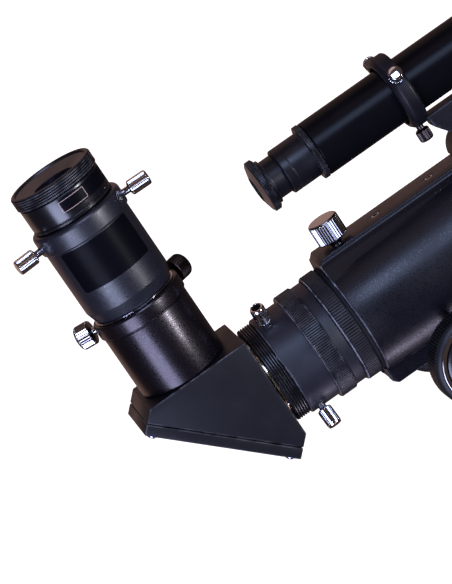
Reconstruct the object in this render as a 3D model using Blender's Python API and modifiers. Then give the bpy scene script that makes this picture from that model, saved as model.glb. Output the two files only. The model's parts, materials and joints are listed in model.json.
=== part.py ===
"""Refractor telescope: the optical tube with its focuser, star diagonal, Barlow lens,
eyepiece, finder, tube rings and dovetail bar.

Sizes are in millimetres and become metres where a mesh is made. A station is a distance
along the optical axis from the focuser's mouth, positive towards the objective. A height is
measured from the optical axis. The world origin is the middle of the dovetail bar's foot.
"""

import math

import bmesh
import bpy
from mathutils import Matrix, Vector

MM = 0.001
GAP = 0.3

# The whole telescope
AXIS_HEIGHT = 67.0
CRADLE_STATION = 222.0

# Main tube and objective
TUBE_START = 124.3
TUBE_END = 537.0
TUBE_RADIUS = 38.1
TUBE_WALL = 1.5
SLEEVE_RADIUS = 36.3
CELL_RADIUS = 42.0
CELL_BORE = 36.5
LENS_RADIUS = 36.2
SHIELD_RADIUS = 43.6
SHIELD_END = 650.0

# Dovetail bar and tube rings
BAR_LENGTH = 200.0
BAR_WIDTH = 44.0
BAR_TOP_WIDTH = 36.4
BAR_HEIGHT = 14.0
RING_SPACING = 110.0
RING_WIDTH = 24.0
RING_BORE = 38.5
RING_RADIUS = 44.5
RING_TOP = 46.5
HINGE_SIDE = 49.0
KNUCKLE_RADIUS = 4.5
KNUCKLE_SPLIT = 4.3
EAR_SIDE = 54.5
EAR_HEIGHT = 6.0

# Focuser
HOUSING_BORE = 21.5
DRAWTUBE_RADIUS = 21.0
RAIL_HEIGHT = 28.3
RAIL_WIDTH = 18.0
BOX_DEPTH = 30.2
SLOT_DEPTH = 28.6
SLOT_WIDTH = 10.6
PAD_STATIONS = (27.0, 61.0)
RAIL_SCREW_STATIONS = {"rear": 31.0, "front": 56.5}
LOCK_STATION = 12.5

# Rack and pinion
MODULE = 0.8
PINION_TEETH = 12
PITCH_RADIUS = MODULE * PINION_TEETH / 2
PRESSURE_ANGLE = math.radians(20)
BACKLASH = 0.2
RACK_ADDENDUM = 0.45
RACK_DEDENDUM = 1.0
RACK_START = 8.0
PINION_STATION = 30.8
PINION_HEIGHT = -32.0
SHAFT_RADIUS = 2.5
KNOB_RADIUS = 20.0
KNOB_INNER = 28.0
KNOB_OUTER = 42.0

# Nosepieces of the 31.7 mm standard, and the parts that hold them
NOSE_RADIUS = 15.875
NOSE_BORE = 16.2
CLAMP_TIP = 16.25
ADAPTER_SCREW_STATION = -28.4
ADAPTER_SCREW_ANGLES = {"upper": 22.5, "lower": 150.0}

# Star diagonal, about the upright axis through EYE_STATION
EYE_STATION = -64.2
APEX_STATION = -39.8
APEX_HEIGHT = 21.9
LEG_LENGTH = 44.1
CORNER_CUT = 10.4
COVER_THICKNESS = 4.5
HOUSING_HALF_WIDTH = 18.5
PRISM_HALF = 15.0
DIAGONAL_COLLAR = (50.0, 56.2)
DIAGONAL_SCREW_HEIGHT = 53.0
DIAGONAL_SCREW_ANGLES = {"left": 160.0, "right": 30.0}

# Barlow and eyepiece
BARLOW_START = 57.0
BARLOW_COLLAR = (90.0, 98.0)
BARLOW_SCREW_HEIGHT = 93.0
BARLOW_SCREW_ANGLES = {"left": 190.0, "right": -5.0}
EYEPIECE_RIM = (109.5, 114.9)

# Finder, about an axis parallel to the optical axis
FINDER_HEIGHT = 63.5
FINDER_RADIUS = 11.6
REAR_RING = (60.7, 68.0)
FRONT_RING = (108.0, 116.0)
FINDER_SCREW_STATION = 64.3
FINDER_SCREW_ANGLES = {"bottom": 180.0, "right": 60.0, "left": 300.0}
FOOT_RADIUS = 9.2
FOOT_STATION = 78.6

# Facets of round pieces
COARSE, MEDIUM, FINE = 12, 20, 28

FORWARD, UP, DOWN = Vector((1, 0, 0)), Vector((0, 0, 1)), Vector((0, 0, -1))
RIGHT, LEFT = Vector((0, -1, 0)), Vector((0, 1, 0))

# Base colour, roughness and metallic value of each finish
FINISHES = {
    "tube_paint": ((0.012, 0.012, 0.018), 0.35, 0.2),
    "housing_paint": ((0.02, 0.02, 0.03), 0.5, 0.3),
    "black_anodised": ((0.02, 0.018, 0.028), 0.38, 0.6),
    "black_plastic": ((0.025, 0.025, 0.032), 0.45, 0.0),
    "flat_black": ((0.008, 0.008, 0.009), 0.9, 0.0),
    "rubber": ((0.012, 0.012, 0.016), 0.7, 0.0),
    "chrome": ((0.75, 0.74, 0.76), 0.16, 1.0),
    "steel": ((0.5, 0.5, 0.52), 0.3, 1.0),
    "brass": ((0.62, 0.44, 0.2), 0.3, 1.0),
    "teflon": ((0.85, 0.85, 0.83), 0.5, 0.0),
    "glass": ((0.75, 0.85, 0.85), 0.03, 0.0),
}


def clear_scene():
    """Remove whatever objects the scene holds."""
    for obj in list(bpy.data.objects):
        bpy.data.objects.remove(obj, do_unlink=True)


def new_collection(name):
    """Add a collection to the scene."""
    collection = bpy.data.collections.new(name)
    bpy.context.scene.collection.children.link(collection)
    return collection


def material(name):
    """The Principled material of a finish, made on first use."""
    if name in bpy.data.materials:
        return bpy.data.materials[name]
    colour, roughness, metallic = FINISHES[name]
    made = bpy.data.materials.new(name)
    made.use_nodes = True
    shader = made.node_tree.nodes["Principled BSDF"]
    shader.inputs["Base Color"].default_value = (*colour, 1.0)
    shader.inputs["Roughness"].default_value = roughness
    shader.inputs["Metallic"].default_value = metallic
    return made


def scope_point(station, side=0.0, height=0.0):
    """World place of a point given by station, side (left positive) and height."""
    return Vector((station - CRADLE_STATION, side, height + AXIS_HEIGHT)) * MM


def add_part(name, mesh, finish, place, rotation=None):
    """Put a mesh in the telescope's collection as a named part, or among the cutters."""
    obj = bpy.data.objects.new(name, mesh)
    obj.location = place
    if rotation is not None:
        obj.rotation_euler = rotation
    if finish is None:
        cutters.objects.link(obj)
        obj.hide_render = True
        obj.display_type = "WIRE"
    else:
        mesh.materials.append(material(finish))
        parts.objects.link(obj)
    return obj


def turned(name, finish, outer, inner=None, place=None, towards=FORWARD, facets=MEDIUM):
    """A turned piece about the line from place towards a direction.

    outer and inner list (distance along the line, radius) from the near end to the far end.
    """
    path = list(reversed(outer))
    if inner is not None:
        path += inner
    else:
        path = [(path[0][0], 0.0)] * (path[0][1] > 0) + path + [(path[-1][0], 0.0)] * (path[-1][1] > 0)
    shape = bmesh.new()
    points = [shape.verts.new((radius * MM, 0, along * MM)) for along, radius in path]
    for start, end in zip(points, points[1:]):
        shape.edges.new((start, end))
    if inner is not None:
        shape.edges.new((points[-1], points[0]))
    mesh = bpy.data.meshes.new(name)
    shape.to_mesh(mesh)
    shape.free()
    place = scope_point(0) if place is None else place
    obj = add_part(name, mesh, finish, place, UP.rotation_difference(towards).to_euler())
    turn = obj.modifiers.new("turn", "SCREW")
    turn.axis = "Z"
    turn.steps = turn.render_steps = facets
    turn.use_merge_vertices = True
    turn.merge_threshold = 1e-6
    return obj


def rod(name, finish, radius, start, end, place, towards, facets=COARSE):
    """A plain cylinder from start to end along a direction from place."""
    return turned(name, finish, [(start, radius), (end, radius)], None, place, towards, facets)


def block(name, finish, low, high):
    """A box between two corners given by station, side and height."""
    low, high = scope_point(*low), scope_point(*high)
    centre = (low + high) / 2
    shape = bmesh.new()
    bmesh.ops.create_cube(shape, size=1.0, matrix=Matrix.Diagonal((*(high - low), 1.0)))
    mesh = bpy.data.meshes.new(name)
    shape.to_mesh(mesh)
    shape.free()
    return add_part(name, mesh, finish, centre)


def slab(name, finish, outline, half_width, place, rotation):
    """A flat outline, extruded by half_width to both sides of its plane."""
    curve = bpy.data.curves.new(name, "CURVE")
    curve.dimensions = "2D"
    curve.fill_mode = "BOTH"
    curve.extrude = half_width * MM
    spline = curve.splines.new("POLY")
    spline.points.add(len(outline) - 1)
    for point, (across, up) in zip(spline.points, outline):
        point.co = (across * MM, up * MM, 0, 1)
    spline.use_cyclic_u = True
    drawn = bpy.data.objects.new(name, curve)
    cutters.objects.link(drawn)
    evaluated = drawn.evaluated_get(bpy.context.evaluated_depsgraph_get())
    mesh = bpy.data.meshes.new_from_object(evaluated)
    bpy.data.objects.remove(drawn)
    bpy.data.curves.remove(curve)
    shape = bmesh.new()
    shape.from_mesh(mesh)
    bmesh.ops.remove_doubles(shape, verts=shape.verts, dist=1e-6)
    bmesh.ops.recalc_face_normals(shape, faces=shape.faces)
    shape.to_mesh(mesh)
    shape.free()
    mesh.materials.clear()
    return add_part(name, mesh, finish, place, rotation)


def side_slab(name, finish, outline, half_width):
    """A slab whose outline lists (station, height), as seen from the telescope's side."""
    return slab(name, finish, outline, half_width, scope_point(0), (math.pi / 2, 0, 0))


def front_slab(name, finish, outline, half_width, station):
    """A slab whose outline lists (side, height), as seen along the optical axis."""
    return slab(name, finish, outline, half_width, scope_point(station), (math.pi / 2, 0, math.pi / 2))


def combine(obj, tool, operation):
    """Add a Boolean with a tool from the cutters' collection."""
    step = obj.modifiers.new(tool.name, "BOOLEAN")
    step.operation = operation
    step.object = tool


def cut(obj, *tools):
    """Cut tools away from a part."""
    for tool in tools:
        combine(obj, tool, "DIFFERENCE")


def join(obj, *tools):
    """Make tools one body with a part."""
    for tool in tools:
        combine(obj, tool, "UNION")


def around_axis(angle):
    """Direction away from the optical axis, by the angle in degrees from up to the right."""
    turn = math.radians(angle)
    return Vector((0, -math.sin(turn), math.cos(turn)))


def around_eye(angle):
    """Direction away from the eyepiece's upright axis, by the angle from forward to the left."""
    turn = math.radians(angle)
    return Vector((math.cos(turn), math.sin(turn), 0))


def thumbscrew(name, place, towards, tip, neck, end, head_radius, shank_radius=1.6):
    """A knurled clamp screw whose shank runs from tip to neck and whose head ends at end."""
    outline = [(tip, shank_radius), (neck, shank_radius), (neck, head_radius), (end, head_radius)]
    return turned(name, "chrome", outline, None, place, towards, COARSE)


def screw_hole(host, place, towards, radius, start, end):
    """Drill a hole for a screw through a host."""
    cut(host, rod(f"{host.name}_hole_{len(host.modifiers)}", None, radius, start, end, place, towards))


def lens(name, rear, front, radius, rear_bulge, front_bulge, place=None, towards=FORWARD, facets=MEDIUM):
    """A lens between two rim stations; a bulge is the middle's offset along the axis."""
    rings = [0.0, 0.6, 1.0]
    back = [(rear + rear_bulge * (1 - part**2), part * radius) for part in rings]
    face = [(front + front_bulge * (1 - part**2), part * radius) for part in reversed(rings)]
    return turned(name, "glass", back + face, None, place, towards, facets)


def make_dovetail_bar():
    """The dovetail bar, with its two tripod threads and the ring bolts' counterbores."""
    foot = -AXIS_HEIGHT
    top = foot + BAR_HEIGHT
    outline = [
        (-BAR_WIDTH / 2, foot),
        (BAR_WIDTH / 2, foot),
        (BAR_TOP_WIDTH / 2, top),
        (-BAR_TOP_WIDTH / 2, top),
    ]
    bar = front_slab("dovetail_bar", "black_anodised", outline, BAR_LENGTH / 2, CRADLE_STATION)
    for offset in (-25, 25):
        screw_hole(bar, scope_point(CRADLE_STATION + offset), DOWN, 3.2, -top - 1, AXIS_HEIGHT + 1)
    for offset in (-RING_SPACING / 2, RING_SPACING / 2):
        bolt = [(-top - 1, 3.3), (AXIS_HEIGHT - 7, 3.3), (AXIS_HEIGHT - 7, 6.0), (AXIS_HEIGHT + 1, 6.0)]
        place = scope_point(CRADLE_STATION + offset)
        cut(bar, turned(f"bolt_hole_{offset:+.0f}", None, bolt, None, place, DOWN, COARSE))


def make_ring_half(name, station, upper):
    """One half of a tube ring: a half hoop with its pad or foot, clamp ear and knuckles."""
    sign = 1 if upper else -1
    half = RING_WIDTH / 2
    place = scope_point(station)
    hoop = turned(name, "black_anodised", [(-half, RING_RADIUS), (half, RING_RADIUS)],
                  [(-half, 30.0), (half, 30.0)], place, FORWARD, FINE)

    def span(low_side, high_side, near, far, reach, label):
        low, high = sorted((sign * near, sign * far))
        near_corner, far_corner = (station - reach, low_side, low), (station + reach, high_side, high)
        return block(f"{name}_{label}", None, near_corner, far_corner)

    cut(hoop, span(-60, 60, -60, 0.2, half + 1, "split"))
    if upper:
        join(hoop, span(-9, 9, 40, RING_TOP, half - 0.01, "pad"))
    else:
        join(hoop, span(-15, 15, 40, AXIS_HEIGHT - BAR_HEIGHT - GAP, half - 0.01, "foot"))
    join(hoop, span(-EAR_SIDE - 7, -42, 0.2, EAR_HEIGHT, 8, "ear"))
    join(hoop, span(40, HINGE_SIDE, 0.2, KNUCKLE_RADIUS - 0.2, half - 0.01, "hinge_arm"))
    knuckles = [(-KNUCKLE_SPLIT + GAP, KNUCKLE_SPLIT - GAP)]
    clearances = [(-half - 1, -KNUCKLE_SPLIT + GAP), (KNUCKLE_SPLIT - GAP, half + 1)]
    if not upper:
        knuckles = [(-half, -KNUCKLE_SPLIT), (KNUCKLE_SPLIT, half)]
        clearances = [(-KNUCKLE_SPLIT, KNUCKLE_SPLIT)]
    hinge = scope_point(station, HINGE_SIDE)
    for low, high in clearances:
        tool = f"{name}_clearance_{low:+.1f}"
        cut(hoop, rod(tool, None, KNUCKLE_RADIUS + 0.4, low, high, hinge, FORWARD, MEDIUM))
    for low, high in knuckles:
        tool = f"{name}_knuckle_{low:+.1f}"
        join(hoop, rod(tool, None, KNUCKLE_RADIUS, low, high, hinge, FORWARD, MEDIUM))
    bore = rod(f"{name}_bore", None, RING_BORE, -half - 1, half + 1, place, FORWARD, FINE)
    cut(hoop, bore, rod(f"{name}_pin_hole", None, 2.3, -half - 1, half + 1, hinge, FORWARD))
    screw_hole(hoop, scope_point(station, -EAR_SIDE), UP, 3.35, -EAR_HEIGHT - 1, EAR_HEIGHT + 1)
    if upper:
        screw_hole(hoop, place, UP, 3.2, RING_TOP - 7, RING_TOP + 1)
    else:
        screw_hole(hoop, place, DOWN, 2.6, 45.0, AXIS_HEIGHT - BAR_HEIGHT)


def make_tube_rings():
    """Two hinged tube rings with their pins and clamp knobs."""
    for label, sign in (("rear", -1), ("front", 1)):
        station = CRADLE_STATION + sign * RING_SPACING / 2
        make_ring_half(f"{label}_ring_base", station, upper=False)
        make_ring_half(f"{label}_ring_cap", station, upper=True)
        hinge = scope_point(station, HINGE_SIDE)
        rod(f"{label}_ring_pin", "steel", 2.0, -RING_WIDTH / 2 - 0.5, RING_WIDTH / 2 + 0.5, hinge, FORWARD)
        knob = [(-11.0, 3.0), (6.4, 3.0), (6.4, 7.0), (9.5, 7.0), (10.3, 9.0), (20.0, 9.0), (21.0, 8.0)]
        ear = scope_point(station, -EAR_SIDE)
        turned(f"{label}_clamp_knob", "black_plastic", knob, None, ear, UP, 24)


def make_main_tube():
    """The painted tube with its glare baffle."""
    bore = TUBE_RADIUS - TUBE_WALL
    turned("main_tube", "tube_paint", [(TUBE_START, TUBE_RADIUS), (TUBE_END, TUBE_RADIUS)],
           [(TUBE_START, bore), (TUBE_END, bore)], facets=FINE)
    middle = (TUBE_START + TUBE_END) / 2
    turned("tube_baffle", "flat_black", [(middle, SLEEVE_RADIUS), (middle + 10, SLEEVE_RADIUS)],
           [(middle, 26.0), (middle + 1.5, 26.0), (middle + 1.5, 35.3), (middle + 10, 35.3)], facets=FINE)


def make_objective():
    """The lens cell, the two lenses of the achromat, their retainer and the dew shield."""
    seat = TUBE_END + 6
    cell_end = seat + 17
    flange = TUBE_END + GAP
    turned("objective_cell", "black_anodised",
           [(TUBE_END - 12, SLEEVE_RADIUS), (flange, SLEEVE_RADIUS), (flange, CELL_RADIUS),
            (cell_end, CELL_RADIUS)],
           [(TUBE_END - 12, 34.6), (seat, 34.6), (seat, CELL_BORE), (cell_end, CELL_BORE)], facets=FINE)
    flint_rear, flint_front = seat + GAP, seat + GAP + 5
    crown_rear, crown_front = flint_front + GAP, flint_front + GAP + 4
    lens("flint_lens", flint_rear, flint_front, LENS_RADIUS, -0.5, -2.1, facets=FINE)
    lens("crown_lens", crown_rear, crown_front, LENS_RADIUS, -2.1, 1.5, facets=FINE)
    retainer = (crown_front + GAP, crown_front + 4)
    turned("lens_retainer", "black_anodised", [(along, LENS_RADIUS) for along in retainer],
           [(along, 35.0) for along in retainer], facets=FINE)
    shield_start = TUBE_END + 3
    turned("dew_shield", "tube_paint",
           [(shield_start, SHIELD_RADIUS), (SHIELD_END - 4, SHIELD_RADIUS),
            (SHIELD_END - 3.4, SHIELD_RADIUS + 0.6), (SHIELD_END, SHIELD_RADIUS + 0.6)],
           [(shield_start, CELL_RADIUS + GAP), (SHIELD_END, CELL_RADIUS + GAP)], facets=FINE)


def make_focuser_housing():
    """The cast housing: a flared barrel with a rail on top and a rack box below."""
    housing = turned(
        "focuser_housing", "housing_paint",
        [(1.0, 24.2), (1.8, 24.9), (14, 25.6), (60, 27.0), (104, 28.2), (109, 29.6), (114, 33.0),
         (118.5, 37.2), (120, 38.3), (TUBE_START - GAP, 38.4), (TUBE_START - GAP, SLEEVE_RADIUS),
         (140, SLEEVE_RADIUS)],
        [(1.0, HOUSING_BORE), (98, HOUSING_BORE), (120, 32.0), (140, 34.0)], facets=FINE)
    wall = HOUSING_BORE + 0.3
    rail = [(0.8, wall), (0.8, RAIL_HEIGHT - 0.8), (1.6, RAIL_HEIGHT), (110, RAIL_HEIGHT), (110, 27)]
    box = [(0, -wall), (0, 1.6 - BOX_DEPTH), (1.6, -BOX_DEPTH), (104, -BOX_DEPTH), (108, -29)]
    join(housing, side_slab("rail", None, rail, RAIL_WIDTH / 2), side_slab("rack_box", None, box, 10.0))
    half_slot = SLOT_WIDTH / 2
    cut(housing, block("rack_slot", None, (-1, -half_slot, -SLOT_DEPTH), (113, half_slot, -14)))
    cut(housing, block("pad_pocket", None, (PAD_STATIONS[0], -4, 19), (PAD_STATIONS[1], 4, 24)))
    pinion_axis = scope_point(PINION_STATION, 0, PINION_HEIGHT)
    cut(housing, rod("pinion_window", None, 6.3, -6, 6, pinion_axis, LEFT, MEDIUM))
    cut(housing, rod("shaft_groove", None, SHAFT_RADIUS + 0.4, -12, 12, pinion_axis, LEFT, 20))
    for station in RAIL_SCREW_STATIONS.values():
        screw_hole(housing, scope_point(station), UP, 2.2, 23, RAIL_HEIGHT + 1)
    screw_hole(housing, scope_point(LOCK_STATION), UP, 2.5, 19, RAIL_HEIGHT + 1)


def make_focuser_fittings():
    """The lock screw, the rail screws with their pad, and the bracket under the pinion."""
    thumbscrew("focus_lock_screw", scope_point(LOCK_STATION), UP, 21.4, 30.0, 39.2, 6.4, 2.1)
    for label, station in RAIL_SCREW_STATIONS.items():
        rod(f"rail_screw_{label}", "steel", 1.9, 24.0, RAIL_HEIGHT - 0.6, scope_point(station), UP)
    start, end = PAD_STATIONS
    block("tension_pad", "teflon", (start + 0.4, -3.7, 21.4), (end - 0.4, 3.7, 23.7))
    top, bottom, reach = -BOX_DEPTH - GAP, -BOX_DEPTH - 10.3, 12.8
    outline = [(PINION_STATION - reach, top), (PINION_STATION - reach, -35), (PINION_STATION - 7, bottom),
               (PINION_STATION + 7, bottom), (PINION_STATION + reach, -35), (PINION_STATION + reach, top)]
    bracket = side_slab("pinion_bracket", "housing_paint", outline, 12.0)
    pinion_axis = scope_point(PINION_STATION, 0, PINION_HEIGHT)
    cut(bracket, rod("bracket_pocket", None, 6.3, -6, 6, pinion_axis, LEFT, MEDIUM))
    cut(bracket, rod("bracket_bearing", None, SHAFT_RADIUS + 0.4, -13, 13, pinion_axis, LEFT, 20))


def make_drawtube():
    """The drawtube, its ribbed end ring and the rack along its underside."""
    turned("drawtube", "chrome", [(-7.0, DRAWTUBE_RADIUS), (125, DRAWTUBE_RADIUS)],
           [(-7.0, 18.8), (125, 18.8)], facets=FINE)
    turned("drawtube_ring", "black_anodised", [(-7.3, 23.4), (-6.9, 23.85), (-0.9, 23.85), (-0.5, 23.4)],
           [(-7.3, DRAWTUBE_RADIUS + 0.35), (-0.5, DRAWTUBE_RADIUS + 0.35)], facets=FINE)
    pitch = math.pi * MODULE
    pitch_height = PINION_HEIGHT + PITCH_RADIUS
    tip, root = pitch_height - RACK_ADDENDUM, pitch_height + RACK_DEDENDUM
    slope = math.tan(PRESSURE_ANGLE)
    half_tooth = (pitch - BACKLASH) / 4
    count = 42
    first = PINION_STATION + pitch / 2 - pitch * round((PINION_STATION - RACK_START) / pitch)
    outline = [(first - pitch / 2, -DRAWTUBE_RADIUS - GAP), (first - pitch / 2, root)]
    half_root, half_tip = half_tooth + RACK_DEDENDUM * slope, half_tooth - RACK_ADDENDUM * slope
    for middle in (first + pitch * index for index in range(count)):
        outline += [(middle - half_root, root), (middle - half_tip, tip), (middle + half_tip, tip),
                    (middle + half_root, root)]
    last = first + pitch * (count - 0.5)
    outline += [(last, root), (last, -DRAWTUBE_RADIUS - GAP)]
    side_slab("rack", "steel", outline, 4.0)


def gear_outline():
    """The pinion's involute outline, with one tooth pointing straight up."""
    base = PITCH_RADIUS * math.cos(PRESSURE_ANGLE)
    outer, root = PITCH_RADIUS + MODULE, PITCH_RADIUS - 1.25 * MODULE
    half_at_pitch = math.pi / (2 * PINION_TEETH) - BACKLASH / (4 * PITCH_RADIUS)

    def half_angle(radius):
        pressure = math.acos(min(1.0, base / radius))
        roll = math.tan(PRESSURE_ANGLE) - PRESSURE_ANGLE - math.tan(pressure) + pressure
        return half_at_pitch + roll

    flank = [(root, half_angle(base)), (base, half_angle(base)), (PITCH_RADIUS, half_at_pitch),
             (outer, half_angle(outer))]
    outline = []
    for tooth in range(PINION_TEETH):
        middle = math.pi / 2 - tooth * math.tau / PINION_TEETH
        edge = [(radius, middle + half) for radius, half in flank]
        edge += [(radius, middle - half) for radius, half in reversed(flank)]
        outline += [(radius * math.cos(angle), radius * math.sin(angle)) for radius, angle in edge]
    return outline


def make_pinion():
    """The pinion on its cross shaft, with a focus knob and a cap at each end."""
    axis = scope_point(PINION_STATION, 0, PINION_HEIGHT)
    rod("pinion_shaft", "steel", SHAFT_RADIUS, -39.7, 39.7, axis, LEFT)
    gear = slab("pinion_gear", "brass", gear_outline(), 5.0, axis, (math.pi / 2, 0, 0))
    cut(gear, rod("gear_bore", None, SHAFT_RADIUS + GAP, -6, 6, axis, LEFT))
    recess = KNOB_OUTER - 2
    for label, towards in (("right", RIGHT), ("left", LEFT)):
        turned(f"{label}_focus_knob", "rubber",
               [(KNOB_INNER, 18.4), (KNOB_INNER + 1.4, KNOB_RADIUS), (KNOB_OUTER - 1.6, KNOB_RADIUS),
                (KNOB_OUTER, 18.2)],
               [(KNOB_INNER, SHAFT_RADIUS + GAP), (recess, SHAFT_RADIUS + GAP), (recess, 15.8),
                (KNOB_OUTER, 15.8)],
               axis, towards, FINE)
        turned(f"{label}_knob_cap", "black_plastic",
               [(recess + GAP, 15.5), (KNOB_OUTER + 0.2, 15.5), (KNOB_OUTER + 0.8, 14.0)], None,
               axis, towards, MEDIUM)


def make_adapter():
    """The adapter that clamps the diagonal's nosepiece, and its threaded collar."""
    adapter = turned(
        "eyepiece_adapter", "black_plastic",
        [(-32.6, 21.1), (-32.1, 21.65), (-19.7, 21.65), (-19.7, 23.0), (-19.2, 23.4), (-12.1, 23.4),
         (-11.6, 22.9), (-11.6, 22.6), (-7.6, 22.6), (-7.6, 18.4), (3.0, 18.4)],
        [(-32.6, NOSE_BORE), (-8.0, NOSE_BORE), (-5.0, 15.0), (3.0, 15.0)], facets=FINE)
    collar = (-38.7, -32.9)
    turned("thread_collar", "black_anodised",
           [(collar[0], 20.6), (collar[0] + 0.5, 21.0), (collar[1], 21.0)],
           [(along, NOSE_BORE) for along in collar], facets=FINE)
    place = scope_point(ADAPTER_SCREW_STATION)
    for label, angle in ADAPTER_SCREW_ANGLES.items():
        towards = around_axis(angle)
        screw_hole(adapter, place, towards, 1.9, 14.0, 24.0)
        thumbscrew(f"adapter_screw_{label}", place, towards, CLAMP_TIP, 23.2, 31.2, 3.0)


def shifted(point, distance):
    """A point of the side view moved square to the diagonal's long face, outwards."""
    step = distance / math.sqrt(2)
    return (point[0] - step, point[1] - step)


def make_diagonal():
    """The star diagonal: prism housing, cover, prism, nosepiece, upright tube and screws."""
    apex = (APEX_STATION, APEX_HEIGHT)
    back = (APEX_STATION - LEG_LENGTH, APEX_HEIGHT)
    front = (APEX_STATION, APEX_HEIGHT - LEG_LENGTH)
    seam = CORNER_CUT - COVER_THICKNESS - GAP
    housing = side_slab("diagonal_housing", "black_plastic",
                        [apex, back, shifted(back, seam), shifted(front, seam), front], HOUSING_HALF_WIDTH)
    wall, side_wall, end_wall = 3.0, 3.0, 1.9
    inner = (APEX_STATION - wall, APEX_HEIGHT - wall)
    inner_back = (back[0] + end_wall, inner[1])
    inner_front = (inner[0], front[1] + end_wall)
    cavity = [inner, inner_back, shifted(inner_back, 10), shifted(inner_front, 10), inner_front]
    cut(housing, side_slab("prism_cavity", None, cavity, HOUSING_HALF_WIDTH - side_wall))
    eye = scope_point(EYE_STATION)
    cut(housing, rod("tube_hole", None, 16.3, APEX_HEIGHT - 5, APEX_HEIGHT + 1, eye, UP, FINE))
    nose = scope_point(0)
    cut(housing, rod("nose_hole", None, 14.4, APEX_STATION - 5, APEX_STATION + 1, nose, FORWARD, FINE))

    cover = side_slab("diagonal_cover", "black_plastic",
                      [shifted(back, seam + GAP), shifted(back, CORNER_CUT), shifted(front, CORNER_CUT),
                       shifted(front, seam + GAP)], HOUSING_HALF_WIDTH)
    middle = ((back[0] + front[0]) / 2, (back[1] + front[1]) / 2)
    plate = shifted(middle, CORNER_CUT - 1)
    depth = (EYE_STATION - plate[0] - plate[1]) / math.sqrt(2) - GAP
    raised = shifted(plate, -depth)
    reach = 16.0 / math.sqrt(2)
    boss = [(raised[0] - reach, raised[1] + reach), (plate[0] - reach, plate[1] + reach),
            (plate[0] + reach, plate[1] - reach), (raised[0] + reach, raised[1] - reach)]
    join(cover, side_slab("prism_boss", None, boss, 12.0))
    side_slab("diagonal_prism", "glass",
              [(EYE_STATION + PRISM_HALF, PRISM_HALF), (EYE_STATION - PRISM_HALF, PRISM_HALF),
               (EYE_STATION + PRISM_HALF, -PRISM_HALF)], 14.5)

    shoulder = APEX_STATION + GAP
    turned("diagonal_nosepiece", "chrome",
           [(APEX_STATION - 6.7, 14.0), (shoulder, 14.0), (shoulder, NOSE_RADIUS), (-10.5, NOSE_RADIUS),
            (-10.0, 15.4)],
           [(APEX_STATION - 6.7, 12.8), (-10.0, 12.8)], facets=FINE)
    low, high = DIAGONAL_COLLAR
    tube = turned(
        "diagonal_tube", "black_anodised",
        [(17.5, 15.9), (APEX_HEIGHT + GAP, 15.9), (APEX_HEIGHT + GAP, 18.35), (low - 0.4, 18.35),
         (low - 0.4, 18.05), (low, 18.05), (low, 19.15), (high - 0.6, 19.15), (high, 18.6)],
        [(17.5, 13.5), (26.0, 13.5), (26.0, NOSE_BORE), (high, NOSE_BORE)], eye, UP, FINE)
    place = scope_point(EYE_STATION, 0, DIAGONAL_SCREW_HEIGHT)
    for label, angle in DIAGONAL_SCREW_ANGLES.items():
        towards = around_eye(angle)
        screw_hole(tube, place, towards, 1.9, 14.0, 21.0)
        thumbscrew(f"diagonal_screw_{label}", place, towards, CLAMP_TIP, 21.2, 27.6, 5.0)


def make_barlow():
    """The Barlow: body with its collar, chrome nosepiece, lens and two screws."""
    eye = scope_point(EYE_STATION)
    low, high = BARLOW_COLLAR
    body = turned(
        "barlow_body", "black_plastic",
        [(BARLOW_START, 16.9), (BARLOW_START + 3.6, 18.37), (low - 0.3, 18.37), (low, 19.3),
         (high - 0.8, 19.3), (high, 18.5)],
        [(BARLOW_START, 13.5), (68.0, 13.5), (70.0, NOSE_BORE), (high, NOSE_BORE)], eye, UP, FINE)
    shoulder = BARLOW_START - GAP
    turned("barlow_barrel", "chrome",
           [(26.3, 15.5), (26.8, NOSE_RADIUS), (shoulder, NOSE_RADIUS), (shoulder, 13.1), (66.0, 13.1)],
           [(26.3, 14.3), (40.0, 14.3), (42.0, 12.0), (66.0, 12.0)], eye, UP, FINE)
    lens("barlow_lens", 30.0, 36.0, 14.0, 1.2, -1.2, eye, UP)
    place = scope_point(EYE_STATION, 0, BARLOW_SCREW_HEIGHT)
    for label, angle in BARLOW_SCREW_ANGLES.items():
        towards = around_eye(angle)
        screw_hole(body, place, towards, 1.8, 14.0, 21.0)
        thumbscrew(f"barlow_screw_{label}", place, towards, CLAMP_TIP, 22.0, 30.8, 3.1, 1.5)


def make_eyepiece():
    """The eyepiece: barrelled body, ribbed rim with a sloping recess, and eye lens."""
    eye = scope_point(EYE_STATION)
    low, high = EYEPIECE_RIM
    shoulder, body_end = BARLOW_COLLAR[1] + 0.4, low - GAP
    turned("eyepiece_body", "black_anodised",
           [(72.0, 15.5), (72.5, NOSE_RADIUS), (shoulder, NOSE_RADIUS), (shoulder, 17.15),
            (body_end, 17.15)],
           [(72.0, 14.3), (103.5, 14.3), (104.0, 12.0), (body_end, 12.0)], eye, UP, FINE)
    turned("eyepiece_rim", "rubber",
           [(low, 17.2), (low + 0.5, 17.66), (high - 0.5, 17.66), (high, 17.2)],
           [(low, 12.4), (low + 1.0, 12.4), (high - 1.6, 15.4), (high, 15.8)], eye, UP, FINE)
    lens("eye_lens", 104.3, 108.2, 11.7, 0.0, 0.9, eye, UP)


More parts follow.
